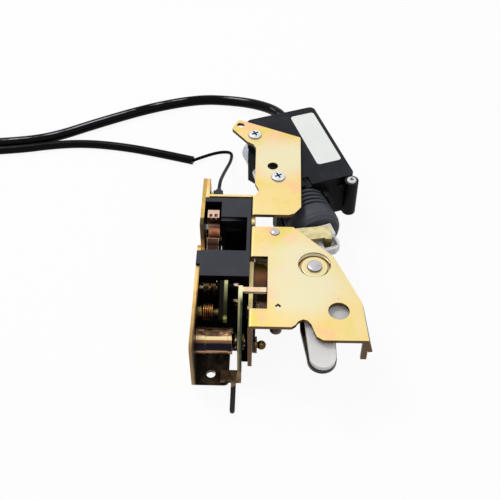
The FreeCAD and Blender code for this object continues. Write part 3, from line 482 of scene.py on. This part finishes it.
def outer_lever_look():
    """The outer lever: a gold painted highlight on its far rim, then copper brown that falls off
    to black as painted shade.
    """
    look = Look("outer_copper", Metallic=0.6)
    cloud = look.noise(0.006, detail=3.5)
    along = look.run() + (cloud - 0.5) * 0.008
    # painted light and shade along the run
    colour = look.ramp(along, ((20, (30, 16, 12)), (40, (44, 20, 14)),
                               (46, (84, 48, 22)), (52, (122, 74, 36)),
                               (57, (110, 84, 40)), (60, (96, 84, 36)),
                               (62, (190, 180, 120))))
    # painted shade on faces that look along X
    colour = look.blend(look.flank(), colour, (40, 30, 16))
    return look.finish(colour, 0.26 + cloud * 0.14, look.grain())


def bright_look(name, light, dark, shade, rough=0.3, metallic=0.6):
    """Bright plated steel whose sides take a painted shade, darker than its upper faces."""
    look = Look(name, Metallic=metallic)
    cloud = look.noise(0.004)
    colour = look.blend(cloud.band(0.35, 0.7), light, dark)
    # painted shade on faces that do not look up
    up = look.axis("Z", facing=True)
    colour = look.blend(1.0 - up.band(0.35, 0.85), colour, shade)
    grain = look.grain(0.0006)
    return look.finish(colour, rough - 0.06 + grain * 0.16, grain)


def moulded_look(name, base, mouth_tone, under=None, rough=0.5, shine=0.25, low=None):
    """Moulded plastic or rubber with a fine grain, and painted shade on its sides and foot."""
    look = Look(name, IOR=1.5, Specular_IOR_Level=shine)
    cloud = look.noise(0.012, detail=4.0)
    colour = look.blend(cloud.band(0.35, 0.75), base, mouth_tone)
    # painted shade: faces that do not look up take the under tone, and the part below the low
    # line takes the low tone
    if under:
        up = look.axis("Z", facing=True)
        colour = look.blend(up.band(0.2, 0.85), under, colour)
    if low:
        colour = look.blend(look.axis("Z").band(-0.0155, -0.0125), low, colour)
    grain = look.grain(0.0006)
    return look.finish(colour, rough - 0.08 + grain * 0.1 + cloud * 0.1, grain, strength=0.5)


LOOKS = {
    "zinc": zinc_look("zinc"),
    "lock_plate": lock_plate_look(),
    "washer": zinc_look("washer_zinc", face=(246, 222, 160), rose=(250, 214, 160),
                        pale=(240, 226, 176), grime=0.1),
    "bracket": zinc_look("bracket_zinc", face=(248, 226, 164), rose=(240, 196, 128),
                         edge=(150, 112, 60), inner_shade=(78, 56, 26)),
    "bronze": bronze_look("bronze", dark=(20, 15, 8), mid=(70, 56, 26), warm=(88, 54, 24),
                          lit=(132, 118, 66)),
    "pawl_plate": pawl_plate_look(),
    "release": lever_look(),
    "outer": outer_lever_look(),
    "fork_rim": bright_look("fork_rim", (240, 218, 200), (214, 178, 152), (120, 88, 66)),
    "dark_rim": bright_look("dark_rim", (150, 128, 70), (104, 84, 42), (60, 46, 22)),
    "rim_gold": bright_look("rim_gold", (214, 190, 116), (160, 132, 66), (96, 76, 36)),
    "bush": bush_look(),
    "copper": fork_look(),
    "pin": bright_look("pin_steel", (226, 196, 170), (176, 150, 128), (60, 46, 34),
                       metallic=0.85, rough=0.22),
    "rivet": bright_look("rivet_steel", (204, 202, 204), (188, 186, 190), (92, 80, 72)),
    "silver": bright_look("silver_steel", (238, 239, 242), (220, 222, 226), (110, 108, 110),
                          rough=0.26, metallic=0.5),
    "can": bright_look("can_steel", (216, 220, 226), (170, 176, 186), (196, 202, 210),
                       rough=0.24, metallic=0.8),
    # painted shade: the cross recess of each screw head is dark navy
    "cross": moulded_look("cross_recess", (14, 30, 74), (34, 56, 108), shine=0.2),
    "dark_steel": bronze_look("dark_steel", dark=(28, 20, 14), mid=(54, 44, 34),
                              warm=(60, 42, 26)),
    "cream": bright_look("cream_zinc", (232, 220, 170), (206, 192, 136), (118, 100, 52)),
    "spring": bronze_look("spring_wire", dark=(20, 14, 8), mid=(74, 50, 26),
                          warm=(132, 78, 32), lit=(176, 122, 66), rough=0.2),
    "housing": moulded_look("housing", (64, 65, 71), (70, 70, 78), under=(2, 2, 3), rough=0.6,
                            shine=0.08, low=(8, 8, 10)),
    # painted shade: black plastic and rubber deep in the case are made near black
    "pit": moulded_look("pit", (10, 9, 8), (18, 15, 12), under=(2, 2, 2), rough=0.6, shine=0.05),
    "case": moulded_look("case", (30, 31, 36), (42, 43, 48), under=(2, 2, 4), rough=0.46,
                         shine=0.1),
    "rubber": moulded_look("rubber", (56, 60, 68), (66, 70, 78), under=(24, 25, 29), rough=0.5,
                           shine=0.35),
    "conduit": tube_look("conduit", (6, 6, 8), (170, 172, 180)),
    "sleeve": tube_look("sleeve", (5, 5, 7), (60, 60, 66)),
    "lead": moulded_look("lead", (7, 7, 9), (12, 12, 14), under=(3, 3, 4), rough=0.4,
                         shine=0.06),
    "label": moulded_look("label", (238, 241, 238), (243, 244, 242), rough=0.4),
    "white": moulded_look("white", (230, 228, 226), (234, 232, 230), under=(206, 205, 205),
                          rough=0.36),
    "deep": deep_look(),
}
# the white moulding lets light in
milky = LOOKS["white"].node_tree.nodes["Principled BSDF"].inputs
milky["Subsurface Weight"].default_value = 0.6
milky["Subsurface Radius"].default_value = (1.0, 1.0, 1.0)
milky["Subsurface Scale"].default_value = 0.005

LOOK_OF = {
    "zinc": ["back_plate"],
    "lock_plate": ["lock_plate"],
    "washer": ["pivot_washer"],
    "bracket": ["end_bracket"],
    "bronze": ["spring_post", "pawl", "ball_stud", "stop_knob", "fork_pin", "axle_clip"],
    "pawl_plate": ["pawl_plate"],
    "release": ["release_lever"],
    "outer": ["outer_lever"],
    "pit": ["striker_bumper"],
    "bush": ["fixing_bush"],
    "copper": ["fork_bolt"],
    "pin": ["pawl_pin", "outer_lever_pin", "gear_pin"],
    "rivet": ["main_rivet", "hook_rivet"],
    "silver": ["bracket_screws", "post_screw"],
    "can": ["motor_can"],
    "dark_steel": ["lock_lever"],
    "cream": ["hook_lever"],
    "spring": ["fork_spring", "pawl_spring", "lever_spring"],
    "housing": ["striker_housing", "latch_switch", "switch_plunger", "motor_worm"],
    "case": ["actuator_case", "actuator_cover", "cable_gland", "loom_connector"],
    "rubber": ["switch_grommet", "bellows"],
    "conduit": ["conduit", "sleeve", "switch_lead"],
    "white": ["lock_tongue", "push_rod", "drive_gear"],
}

# painted highlight: rims that catch the light have a second, lighter tone on their softened
# edges
RIM_OF = {"pawl": "rim_gold", "spring_post": "rim_gold", "ball_stud": "dark_rim",
          "stop_knob": "dark_rim", "fork_bolt": "fork_rim"}

for look_name, names in LOOK_OF.items():
    for node_name in names:
        mesh = NODES[node_name].data
        mesh.materials.clear()
        mesh.materials.append(LOOKS[look_name])

# Cords
CONDUIT = [(61.01, 203.79, -8), (54.85, 220.7, -8), (46.5, 235.8, -12.5), (32, 248.3, -17),
           (12, 256, -20), (-14, 257, -20), (-52, 245, -20), (-93, 224, -20),
           (-125, 205.5, -20), (-155, 199, -20), (-184, 196.3, -20)]
SLEEVE = [(-13.6, 183, -20.8), (-39.4, 190.4, -20.8), (-67, 197, -20.8), (-96, 200.6, -20.8),
          (-121, 198.6, -20.8), (-152, 191.6, -20.8), (-184, 188.6, -20.8)]
LEAD = [(-13.6, 183, -20.8), (-3.2, 190.2, -21.6), (7.5, 195.6, -22.6), (15.6, 194.5, -22.2),
        (15.4, 182, -19.5), (12.8, 164, -11.5), (10.9, 144, -1), (10.3, 128.5, 8),
        (10.4, 117.2, 12)]


def spline_length(curve):
    """Length of a curve's line without its bevel."""
    bare = curve.copy()
    bare.data = curve.data.copy()
    bare.data.bevel_depth = 0
    bpy.context.scene.collection.objects.link(bare)
    bpy.context.view_layer.update()
    seen = bare.evaluated_get(bpy.context.evaluated_depsgraph_get())
    mesh = bpy.data.meshes.new_from_object(seen)
    total = sum((mesh.vertices[e.vertices[0]].co - mesh.vertices[e.vertices[1]].co).length
                for e in mesh.edges)
    bpy.data.objects.remove(bare)
    bpy.data.meshes.remove(mesh)
    return total


def add_cord(name, points, diameter, node, look):
    """A cord as a smooth NURBS curve through the CAD route."""
    data = bpy.data.curves.new(name, "CURVE")
    data.dimensions = "3D"
    data.bevel_depth = diameter / 2 * MM
    data.bevel_resolution = 6
    data.resolution_u = 16
    data.use_fill_caps = True
    spline = data.splines.new("NURBS")
    spline.points.add(len(points) - 1)
    for control, point in zip(spline.points, points):
        control.co = (*(Vector(point) * MM), 1.0)
    spline.order_u = 3
    spline.use_endpoint_u = True
    curve = bpy.data.objects.new(name, data)
    bpy.context.scene.collection.objects.link(curve)
    data.materials.append(look)
    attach(curve, "body")
    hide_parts(node)
    spline_length(curve)
    return curve


# Modelled pieces
SHARP = math.radians(32)
LATHE_SIDES = 56
ROD_BODY = NODES["push_rod"]["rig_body"]


def shift(x, y, z):
    """A move by millimetres."""
    return Matrix.Translation(Vector((x, y, z)) * MM)


def along_x(x, y, z):
    """A place whose Z axis lies along +X."""
    return shift(x, y, z) @ Matrix.Rotation(math.pi / 2, 4, "Y")


# the motor unit's own axes, and two places whose Z axis lies along Y
UNIT = shift(67.2, 116.6, 0) @ Matrix.Rotation(math.radians(20), 4, "Z")
TOWARD_Y = Matrix.Rotation(-math.pi / 2, 4, "X")
ROD_LINE = UNIT @ shift(0, 0, -1.5) @ Matrix.Rotation(math.pi / 2, 4, "X")


class Rule(Graph):
    """A geometry nodes tree with named inputs that makes plain meshes."""

    def __init__(self, name, **defaults):
        self.tree = bpy.data.node_groups.new(name, "GeometryNodeTree")
        face = self.tree.interface
        for key, number in defaults.items():
            kind = "NodeSocketInt" if isinstance(number, int) else "NodeSocketFloat"
            face.new_socket(key, in_out="INPUT", socket_type=kind).default_value = number
        face.new_socket("look", in_out="INPUT", socket_type="NodeSocketMaterial")
        face.new_socket("Geometry", in_out="OUTPUT", socket_type="NodeSocketGeometry")
        self.entry = self.tree.nodes.new("NodeGroupInput")
        self.exit = self.tree.nodes.new("NodeGroupOutput")

    def given(self, key):
        """One of the tree's named inputs."""
        return Sock(self, self.entry.outputs[key])

    def finish(self, geometry):
        """End the tree with real geometry that carries the material."""
        real = self.node("GeometryNodeRealizeInstances", "Geometry",
                         inputs={"Geometry": geometry})
        done = self.node("GeometryNodeSetMaterial", "Geometry",
                         inputs={"Geometry": real, "Material": self.given("look")})
        self.tree.links.new(done.socket, self.exit.inputs["Geometry"])

    def make(self, name, look, place, **given):
        """Run the tree once and keep its result as a plain mesh."""
        carrier = bpy.data.objects.new(name + "_rule", bpy.data.meshes.new(name + "_rule"))
        bpy.context.scene.collection.objects.link(carrier)
        modifier = carrier.modifiers.new("rule", "NODES")
        modifier.node_group = self.tree
        given["look"] = look
        for item in self.tree.interface.items_tree:
            if item.in_out == "INPUT" and item.name in given:
                modifier[item.identifier] = given[item.name]
        bpy.context.view_layer.update()
        seen = carrier.evaluated_get(bpy.context.evaluated_depsgraph_get())
        mesh = bpy.data.meshes.new_from_object(seen)
        bpy.data.objects.remove(carrier)
        mesh.transform(place)
        return add_piece(name, mesh)


def add_piece(name, mesh, smooth=True):
    """Link a mesh as an object at the origin."""
    mesh.name = name
    mesh.polygons.foreach_set("use_smooth", [smooth] * len(mesh.polygons))
    piece = bpy.data.objects.new(name, mesh)
    bpy.context.scene.collection.objects.link(piece)
    return piece


def sharpen(mesh):
    """Keep smooth shading but break it at sharp edges."""
    work = bmesh.new()
    work.from_mesh(mesh)
    for edge in work.edges:
        edge.smooth = edge.calc_face_angle(0.0) < SHARP
    work.to_mesh(mesh)
    work.free()
    return mesh


def plain_mesh(work, name, *looks):
    """Turn a bmesh into a mesh with its materials."""
    mesh = bpy.data.meshes.new(name)
    work.to_mesh(mesh)
    work.free()
    for look in looks:
        mesh.materials.append(look)
    return mesh


def join_body(piece, body):
    """Let an added piece move with a body."""
    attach(piece, body)


def stand_for(piece, node):
    """Let a piece take the place of a CAD node."""
    join_body(piece, NODES[node]["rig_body"])
    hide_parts(node)
    return piece


def soften(node, width, segments=2):
    """Replace a node by its own mesh with its outward edges rounded."""
    mesh = NODES[node].data.copy()
    work = bmesh.new()
    work.from_mesh(mesh)
    bmesh.ops.remove_doubles(work, verts=work.verts, dist=2e-6)
    bmesh.ops.dissolve_limit(work, angle_limit=math.radians(0.6), verts=work.verts,
                             edges=work.edges)
    weight = work.edges.layers.float.new("bevel_weight_edge")
    for edge in work.edges:
        sharp = edge.calc_face_angle(0.0) > SHARP
        edge[weight] = 1.0 if sharp and edge.is_convex else 0.0
    work.to_mesh(mesh)
    work.free()
    piece = add_piece(node + "_skin", mesh)
    bevel = piece.modifiers.new("edges", "BEVEL")
    # painted highlight: the rounded edges of these nodes take their lighter rim tone
    if node in RIM_OF:
        mesh.materials.append(LOOKS[RIM_OF[node]])
        bevel.material = 1
    bevel.width = width * MM
    bevel.segments = segments
    bevel.limit_method = "WEIGHT"
    weigh = piece.modifiers.new("normals", "WEIGHTED_NORMAL")
    weigh.mode = "FACE_AREA"
    weigh.weight = 60
    bpy.context.view_layer.update()
    seen = piece.evaluated_get(bpy.context.evaluated_depsgraph_get())
    done = bpy.data.meshes.new_from_object(seen)
    piece.modifiers.clear()
    piece.data = done
    return stand_for(piece, node)


# material slot, width of the rounded edges in millimetres, nodes
SOFT_EDGES = (
    ("zinc", 0.35, ["lock_plate", "back_plate", "end_bracket", "release_lever", "fixing_bush",
                    "spring_post"]),
    ("steel", 0.25, ["fork_pin", "pawl_pin", "outer_lever_pin", "hook_rivet", "stop_knob",
                     "outer_lever", "lock_lever", "hook_lever", "pawl", "pawl_plate",
                     "motor_can", "pivot_washer", "axle_clip", "ball_stud"]),
    ("fork_plating", 0.4, ["fork_bolt"]),
    ("black_plastic", 0.5, ["striker_housing", "latch_switch", "actuator_case",
                            "actuator_cover"]),
    ("white_plastic", 1.1, ["lock_tongue"]),
    ("white_plastic", 0.4, ["push_rod"]),
)


def build_coil_rule():
    """A wound wire along Z with its ends left open."""
    rule = Rule("coil", turns=4.0, radius=0.005, height=0.006, wire=0.0006)
    radius = rule.given("radius")
    line = rule.node("GeometryNodeCurveSpiral", "Curve",
                     inputs={"Resolution": 40, "Rotations": rule.given("turns"),
                             "Start Radius": radius, "End Radius": radius,
                             "Height": rule.given("height")})
    section = rule.node("GeometryNodeCurvePrimitiveCircle", "Curve",
                        inputs={"Resolution": 12, "Radius": rule.given("wire")})
    rule.finish(rule.node("GeometryNodeCurveToMesh", "Mesh",
                          inputs={"Curve": line, "Profile Curve": section,
                                  "Fill Caps": True}))
    return rule


def build_screw_rule():
    """A flat crowned pan head with a cross recess, standing on z = 0."""
    rule = Rule("pan_screw", radius=0.00475, height=0.0024, recess=0.0026, slot=0.0011)
    ball = rule.node("GeometryNodeMeshUVSphere", "Mesh",
                     inputs={"Segments": 64, "Rings": 40, "Radius": 1.0})
    x, y, z = rule.parts(rule.node("GeometryNodeInputPosition", "Position"))
    reach = (x * x + y * y).clamp()
    crown = (1.0 - reach * reach).clamp().math("POWER", 0.42) * rule.given("height")
    high = crown * z.math("SIGN").clamp()
    point = rule.node("ShaderNodeCombineXYZ", "Vector",
                      inputs={"X": x * rule.given("radius"), "Y": y * rule.given("radius"),
                              "Z": high})
    dome = rule.node("GeometryNodeSetPosition", "Geometry",
                     inputs={"Geometry": ball, "Position": point})
    arms = []
    for turn in (0, math.pi / 2):
        size = rule.node("ShaderNodeCombineXYZ", "Vector",
                         inputs={"X": rule.given("recess") * 2.0, "Y": rule.given("slot"),
                                 "Z": rule.given("height")})
        arm = rule.node("GeometryNodeMeshCube", "Mesh", inputs={"Size": size})
        lift = rule.node("ShaderNodeCombineXYZ", "Vector", inputs={"Z": rule.given("height")})
        arms.append(rule.node("GeometryNodeTransform", "Geometry",
                              inputs={"Geometry": arm, "Translation": lift,
                                      "Rotation": (0, 0, turn + 0.5)}))
    rule.finish(rule.node("GeometryNodeMeshBoolean", "Mesh", operation="DIFFERENCE",
                          inputs={"Mesh 1": dome, "Mesh 2": arms}))
    return rule


def tone_recess(mesh, floor, reach, centre):
    """Give the recess of a screw head, below its crown, the second material: painted shade in
    the recess.
    """
    mesh.materials.append(LOOKS["cross"])
    for face in mesh.polygons:
        away = (face.center - Vector(centre) * MM)
        inside = math.hypot(away.x, away.y) < reach * MM
        face.material_index = 1 if inside and away.z < floor * MM else 0


def lathe(name, profile, place, look):
    """Turn (along, radius) pairs in millimetres about Z and put the mesh in its place."""
    sides = LATHE_SIDES
    points = []
    faces = []
    for along, radius in profile:
        for step in range(sides):
            angle = 2 * math.pi * step / sides
            points.append((radius * math.cos(angle) * MM, radius * math.sin(angle) * MM,
                           along * MM))
    for low in range(0, (len(profile) - 1) * sides, sides):
        for step in range(sides):
            after = (step + 1) % sides
            faces.append((low + step, low + after, low + sides + after, low + sides + step))
    faces.append(tuple(range(sides))[::-1])
    faces.append(tuple(range((len(profile) - 1) * sides, len(profile) * sides)))
    mesh = bpy.data.meshes.new(name)
    mesh.from_pydata(points, [], faces)
    mesh.transform(place)
    mesh.materials.append(look)
    return add_piece(name, mesh)


def relief(start, end, wide, slim, ribs, depth):
    """Profile of a tapered strain relief with ribs around it."""
    profile = [(start, wide)]
    step = (end - start - 1.0) / ribs
    for index in range(ribs):
        low = start + 0.6 + index * step
        outer = wide + (slim - wide) * (index + 0.5) / ribs
        profile += [(low + step * 0.12, outer), (low + step * 0.26, outer - depth),
                    (low + step * 0.52, outer - depth), (low + step * 0.66, outer),
                    (low + step * 0.92, outer - depth * 0.15)]
    return profile + [(end - 0.2, slim), (end, slim - 0.3)]


def add_pad():
    """The bumper at the end of the striker mouth: a crowned pad with soft ribs."""
    columns, rows, ribs = 60, 28, 5
    left, wide, low, tall = 16, 12, -14, 24
    face_y, back_y = 82.75, 82.8
    points = []
    for column in range(columns + 1):
        part = column / columns
        crown = 1 - abs(2 * part - 1) ** 6
        rib = 0.5 - 0.5 * math.cos(2 * math.pi * part * ribs)
        for row in range(rows + 1):
            z = low + tall * row / rows
            lift = max(0.0, 1 - ((z + 2) / 12) ** 2) ** 0.6
            y = face_y - lift * crown * (2.4 + 0.5 * rib)
            points.append(((left + wide * part) * MM, y * MM, z * MM))
    side = rows + 1
    faces = [(c * side + r, (c + 1) * side + r, (c + 1) * side + r + 1, c * side + r + 1)
             for c in range(columns) for r in range(rows)]
    mesh = bpy.data.meshes.new("striker_pad")
    mesh.from_pydata(points, [], faces)
    work = bmesh.new()
    work.from_mesh(mesh)
    rim = [edge for edge in work.edges if edge.is_boundary]
    for item in bmesh.ops.extrude_edge_only(work, edges=rim)["geom"]:
        if isinstance(item, bmesh.types.BMVert):
            item.co.y = back_y * MM
    bmesh.ops.contextual_create(work, geom=[e for e in work.edges if e.is_boundary])
    bmesh.ops.recalc_face_normals(work, faces=work.faces)
    work.to_mesh(mesh)
    work.free()
    mesh.materials.append(LOOKS["pit"])
    stand_for(add_piece("striker_pad", mesh), "striker_bumper")


def rectangle(left, near, right, far):
    """Four corners in order."""
    return [(left, near), (right, near), (right, far), (left, far)]


# outline, underside and top of each slab of the inner floor; the last three are ribs
FLOOR_SLABS = [
    ([(2.52, 35.2), (30.3, 35.2), (30.3, 82.6), (13.2, 82.6), (13.2, 61.5), (2.52, 61.5)],
     -19.8, -18.8),
    (rectangle(12.8, 83, 13.5, 101), -19.8, -18.6),
    ([(28.2, 3), (29.6, -1), (32.9, -1), (32.9, 34), (28.2, 34)], -19.8, -18.4),
    (rectangle(35.7, 38, 46.5, 92), -19.8, -18.6),
] + [(rectangle(3.5, y, 29.5, y + 1.2), -19.0, -18.4) for y in (40, 48, 56)]
WINDOW_SIDE = 35


def add_inner_floor():
    """The moulded floor of the latch case under the pawl and fork, with low ribs."""
    work = bmesh.new()
    for outline, low, high in FLOOR_SLABS:
        lower = [work.verts.new((x * MM, y * MM, low * MM)) for x, y in outline]
        upper = [work.verts.new((x * MM, y * MM, high * MM)) for x, y in outline]
        work.faces.new(lower[::-1])
        work.faces.new(upper)
        for i in range(len(outline)):
            j = (i + 1) % len(outline)
            work.faces.new((lower[i], lower[j], upper[j], upper[i]))
    bmesh.ops.bevel(work, geom=work.edges[:], offset=0.15 * MM, segments=2, affect="EDGES")
    bmesh.ops.recalc_face_normals(work, faces=work.faces)
    mesh = plain_mesh(work, "inner_floor", LOOKS["pit"], LOOKS["deep"])
    # faces past the window side take the deep look, whose tones are painted light and shade
    for face in mesh.polygons:
        face.material_index = 1 if face.center.x > WINDOW_SIDE * MM else 0
    join_body(add_piece("inner_floor", mesh, False), "body")


def build_bellows_rule():
    """A sleeve of pleats and one big bulge, turned about Z."""
    rule = Rule("bellows", length=0.0313, crest=0.0172, depth=0.0021, pleats=4.0,
                pleated=0.0142, mouth=0.0079)
    grid = rule.node("GeometryNodeMeshGrid", "Mesh",
                     inputs={"Size X": 1.0, "Size Y": 1.0, "Vertices X": 97,
                             "Vertices Y": 181})
    x, y, _ = rule.parts(rule.node("GeometryNodeInputPosition", "Position"))
    turn = (x + 0.5) * (2 * math.pi)
    along = (y + 0.5) * rule.given("length")
    phase = along / rule.given("pleated") * rule.given("pleats") * (2 * math.pi)
    wave = phase.math("COSINE") * 0.5 + 0.5
    pleat = wave * wave * wave * rule.given("depth")
    inside = (1.0 - (along - rule.given("pleated")) / 0.0016).clamp()
    # the bulge closes to the mouth as a squared ellipse
    reach = ((along - 0.0195) / (rule.given("length") - 0.0193)).clamp()
    close = (1.0 - reach.math("POWER", 3.4)).clamp().math("POWER", 0.5)
    mouth = rule.given("mouth")
    body = mouth + (rule.given("crest") - mouth) * close
    swell = ((along - 0.0145) / 0.006).clamp()
    past = along - 0.022
    fold = (past / 0.00042).math("SINE") * 0.00016 * (past / 0.003).clamp()
    radius = body - pleat * inside - (1.0 - swell) * 0.0006 - fold
    point = rule.node("ShaderNodeCombineXYZ", "Vector",
                      inputs={"X": radius * turn.math("COSINE"),
                              "Y": radius * turn.math("SINE"), "Z": along})
    bent = rule.node("GeometryNodeSetPosition", "Geometry",
                     inputs={"Geometry": grid, "Position": point})
    rule.finish(rule.node("GeometryNodeMergeByDistance", "Geometry",
                          inputs={"Geometry": bent, "Distance": 1e-6}))
    return rule


def add_rod_floor():
    """A thin rounded web that closes the rod's eye from below."""
    sides = 32
    centre = Vector((0.05, -47.45, 0))
    half_x, half_y = 5.0, 3.9
    work = bmesh.new()
    rings = []
    for high, grow in ((3.7, -0.5), (3.9, 0.0), (4.3, 0.2)):
        ring = []
        for step in range(sides):
            angle = 2 * math.pi * step / sides
            x, y = math.cos(angle), math.sin(angle)
            bulge = (abs(x) ** 5 + abs(y) ** 5) ** -0.2
            reach = Vector((x * bulge * (half_x + grow), y * bulge * (half_y + grow), high))
            ring.append(work.verts.new(UNIT @ ((centre + reach) * MM)))
        rings.append(ring)
    for lower, upper in zip(rings, rings[1:]):
        for i in range(sides):
            j = (i + 1) % sides
            work.faces.new((lower[i], lower[j], upper[j], upper[i]))
    work.faces.new(rings[0][::-1])
    work.faces.new(rings[-1])
    mesh = plain_mesh(work, "rod_floor", LOOKS["white"])
    join_body(add_piece("rod_floor", mesh), ROD_BODY)


def add_label():
    """A bare rectangle with rounded corners on the cover."""
    left, right, near, far, corner = 17.0, 34.7, 16.8, 71.2, 2.1
    low, high = 17.2, 17.32
    outline = []
    for cx, cy, start in ((right - corner, far - corner, 0), (left + corner, far - corner, 90),
                          (left + corner, near + corner, 180),
                          (right - corner, near + corner, 270)):
        for turn in range(start, start + 91, 15):
            angle = math.radians(turn)
            outline.append((cx + corner * math.cos(angle), cy + corner * math.sin(angle)))
    count = len(outline)
    points = [UNIT @ (Vector((x, y, z)) * MM) for z in (low, high) for x, y in outline]
    faces = [tuple(range(count, 2 * count))]
    faces += [(i, (i + 1) % count, count + (i + 1) % count, count + i) for i in range(count)]
    mesh = bpy.data.meshes.new("label")
    mesh.from_pydata(points, [], faces)
    mesh.materials.append(LOOKS["label"])
    join_body(add_piece("label", mesh, False), "body")


# place, turns, radius, height and wire radius of each coil
COILS = {
    "pawl_spring": ((9.5, 37, 5), 2.6, 5.75, 2.9, 0.7),
    "lever_spring": ((5.8, 17, 5), 4.6, 4.85, 5.8, 0.6),
    "fork_spring": ((3.1, 88, -7), 1.4, 6.8, 1.0, 0.55),
}


def add_springs():
    """Wound wires in the place of the three spring sleeves."""
    coil = build_coil_rule()
    for node, (place, turns, radius, height, wire) in COILS.items():
        piece = coil.make(node + "_wire", LOOKS["spring"], along_x(*place), turns=turns,
                          radius=radius * MM, height=height * MM, wire=wire * MM)
        stand_for(piece, node)


BRACKET_SCREWS = ((33.7, 165.2, 20), (50.3, 121.9, 20))
PAN_HIGH = 1.7


def add_screws():
    """The two pan heads on the bracket as one piece, and the smaller head on the post."""
    screw = build_screw_rule()
    merged = bmesh.new()
    for centre in BRACKET_SCREWS:
        head = screw.make("bracket_screw_head", LOOKS["silver"], shift(*centre),
                          radius=4.75 * MM, height=PAN_HIGH * MM, slot=1.25 * MM)
        tone_recess(head.data, PAN_HIGH * 0.9, 3.0, centre)
        merged.from_mesh(head.data)
        bpy.data.objects.remove(head)
    heads = plain_mesh(merged, "bracket_screw_heads", LOOKS["silver"], LOOKS["cross"])
    stand_for(add_piece("bracket_screw_heads", sharpen(heads)), "bracket_screws")
    place = UNIT @ shift(33, -5, 17)
    post = screw.make("post_screw_head", LOOKS["silver"], place, radius=3.1 * MM,
                      height=1.4 * MM, recess=1.5 * MM, slot=1.5 * MM)
    tone_recess(post.data, 1.24, 2.2, place.translation / MM)
    sharpen(post.data)
    stand_for(post, "post_screw")


RIVET = ((7.4, 4.2), (9.1, 4.7), (9.3, 3.5), (19.8, 3.5), (19.85, 4.5), (20.3, 4.6),
         (21.0, 4.4), (21.3, 3.9), (21.45, 2.4), (21.5, 0.6))
COLLAR = ((31.45, 4.0), (31.5, 9.4), (32.2, 9.7), (33.6, 9.3), (34.8, 8.0), (35.6, 5.6),
          (35.9, 1.0))


def add_turned_pieces():
    """The bellows, the two strain reliefs, the main rivet and the rod's shoulder."""
    bellows = build_bellows_rule().make("bellows_sleeve", LOOKS["rubber"], ROD_LINE)
    stand_for(bellows, "bellows")
    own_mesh(bellows)
    for name, profile, place, look, node, slot in (
            ("grommet_relief", relief(113.6, 117.1, 2.75, 1.6, 3, 0.35),
             shift(10.4, 0, 12) @ TOWARD_Y, "rubber", "switch_grommet", "rubber"),
            ("gland_relief", relief(76.1, 83.9, 5.9, 4.5, 4, 0.6),
             UNIT @ shift(24, 0, -8) @ TOWARD_Y, "case", "cable_gland", "black_plastic"),
            ("main_rivet_skin", RIVET, shift(*MAIN, 0), "rivet", "main_rivet", "steel")):
        stand_for(lathe(name, profile, place, LOOKS[look]), node)
    join_body(lathe("rod_collar", COLLAR, ROD_LINE, LOOKS["white"]), ROD_BODY)


def add_pieces():
    """Every modelled piece of the latch and its motor unit."""
    for slot, width, nodes in SOFT_EDGES:
        for node in nodes:
            soften(node, width)
    add_springs()
    add_screws()
    add_turned_pieces()
    add_rod_floor()
    add_pad()
    add_inner_floor()
    add_label()


# Stage
FLOOR_HALF = 3.0
FLOOR_WHITE = 0.92
SKY_LIGHT = 0.62
LIGHT_AIM = Vector((0.03, 0.06, 0.0))


def seen_directly(look):
    """1 for camera, glossy and transmission rays, 0 for the light that floor and object get."""
    ray = [look.node("ShaderNodeLightPath", name)
           for name in ("Is Camera Ray", "Is Glossy Ray", "Is Transmission Ray")]
    return ray[0].math("MAXIMUM", ray[1]).math("MAXIMUM", ray[2])


def add_floor():
    """A plain white floor that keeps the soft shadow under the object."""
    mesh = bpy.data.meshes.new("floor")
    low = -24.05 * MM
    corners = [(x * FLOOR_HALF, y * FLOOR_HALF, low)
               for x, y in ((-1, -1), (1, -1), (1, 1), (-1, 1))]
    mesh.from_pydata(corners, [], [(0, 1, 2, 3)])
    floor = bpy.data.objects.new("floor", mesh)
    bpy.context.scene.collection.objects.link(floor)
    look = Look("floor", Roughness=0.9)
    look.shader.inputs["Base Color"].default_value = (0.9, 0.9, 0.9, 1)
    look.shader.inputs["Specular IOR Level"].default_value = 0.0
    glow = look.tree.nodes.new("ShaderNodeEmission")
    glow.inputs["Strength"].default_value = 1.0
    mixer = look.tree.nodes.new("ShaderNodeMixShader")
    look.tree.links.new((seen_directly(look) * FLOOR_WHITE).socket, mixer.inputs[0])
    look.tree.links.new(look.shader.outputs["BSDF"], mixer.inputs[1])
    look.tree.links.new(glow.outputs["Emission"], mixer.inputs[2])
    look.tree.links.new(mixer.outputs["Shader"],
                        look.tree.nodes["Material Output"].inputs["Surface"])
    mesh.materials.append(look.material)


def add_light(name, place, size, power):
    """A soft area light that looks at the object."""
    data = bpy.data.lights.new(name, "AREA")
    data.shape = "DISK"
    data.size = size
    data.energy = power
    light = bpy.data.objects.new(name, data)
    light.location = place
    heading = LIGHT_AIM - Vector(place)
    light.rotation_euler = heading.to_track_quat("-Z", "Y").to_euler()
    bpy.context.scene.collection.objects.link(light)


def add_studio():
    """Soft white surroundings with a key light from the far left."""
    world = bpy.data.worlds.new("studio")
    world.use_nodes = True
    sky = Graph()
    sky.tree = world.node_tree
    ground = world.node_tree.nodes["Background"]
    ground.inputs["Color"].default_value = (1, 1, 1, 1)
    strength = seen_directly(sky) * (1.0 - SKY_LIGHT) + SKY_LIGHT
    world.node_tree.links.new(strength.socket, ground.inputs["Strength"])
    bpy.context.scene.world = world
    add_light("key", (-0.45, 0.45, 0.95), 0.35, 3.8)
    add_light("fill", (0.7, -0.5, 0.7), 0.7, 1.0)


add_camera()
plug = soften("loom_connector", 0.8, 3)
add_cord("conduit_cord", CONDUIT, 8.0, "conduit", LOOKS["conduit"])
add_cord("sleeve_cord", SLEEVE[::-1], 6.4, "sleeve", LOOKS["sleeve"])
add_cord("switch_lead_cord", LEAD[::-1], 2.4, "switch_lead", LOOKS["lead"])
add_pieces()
add_floor()
add_studio()
bpy.context.scene.view_settings.view_transform = "Standard"
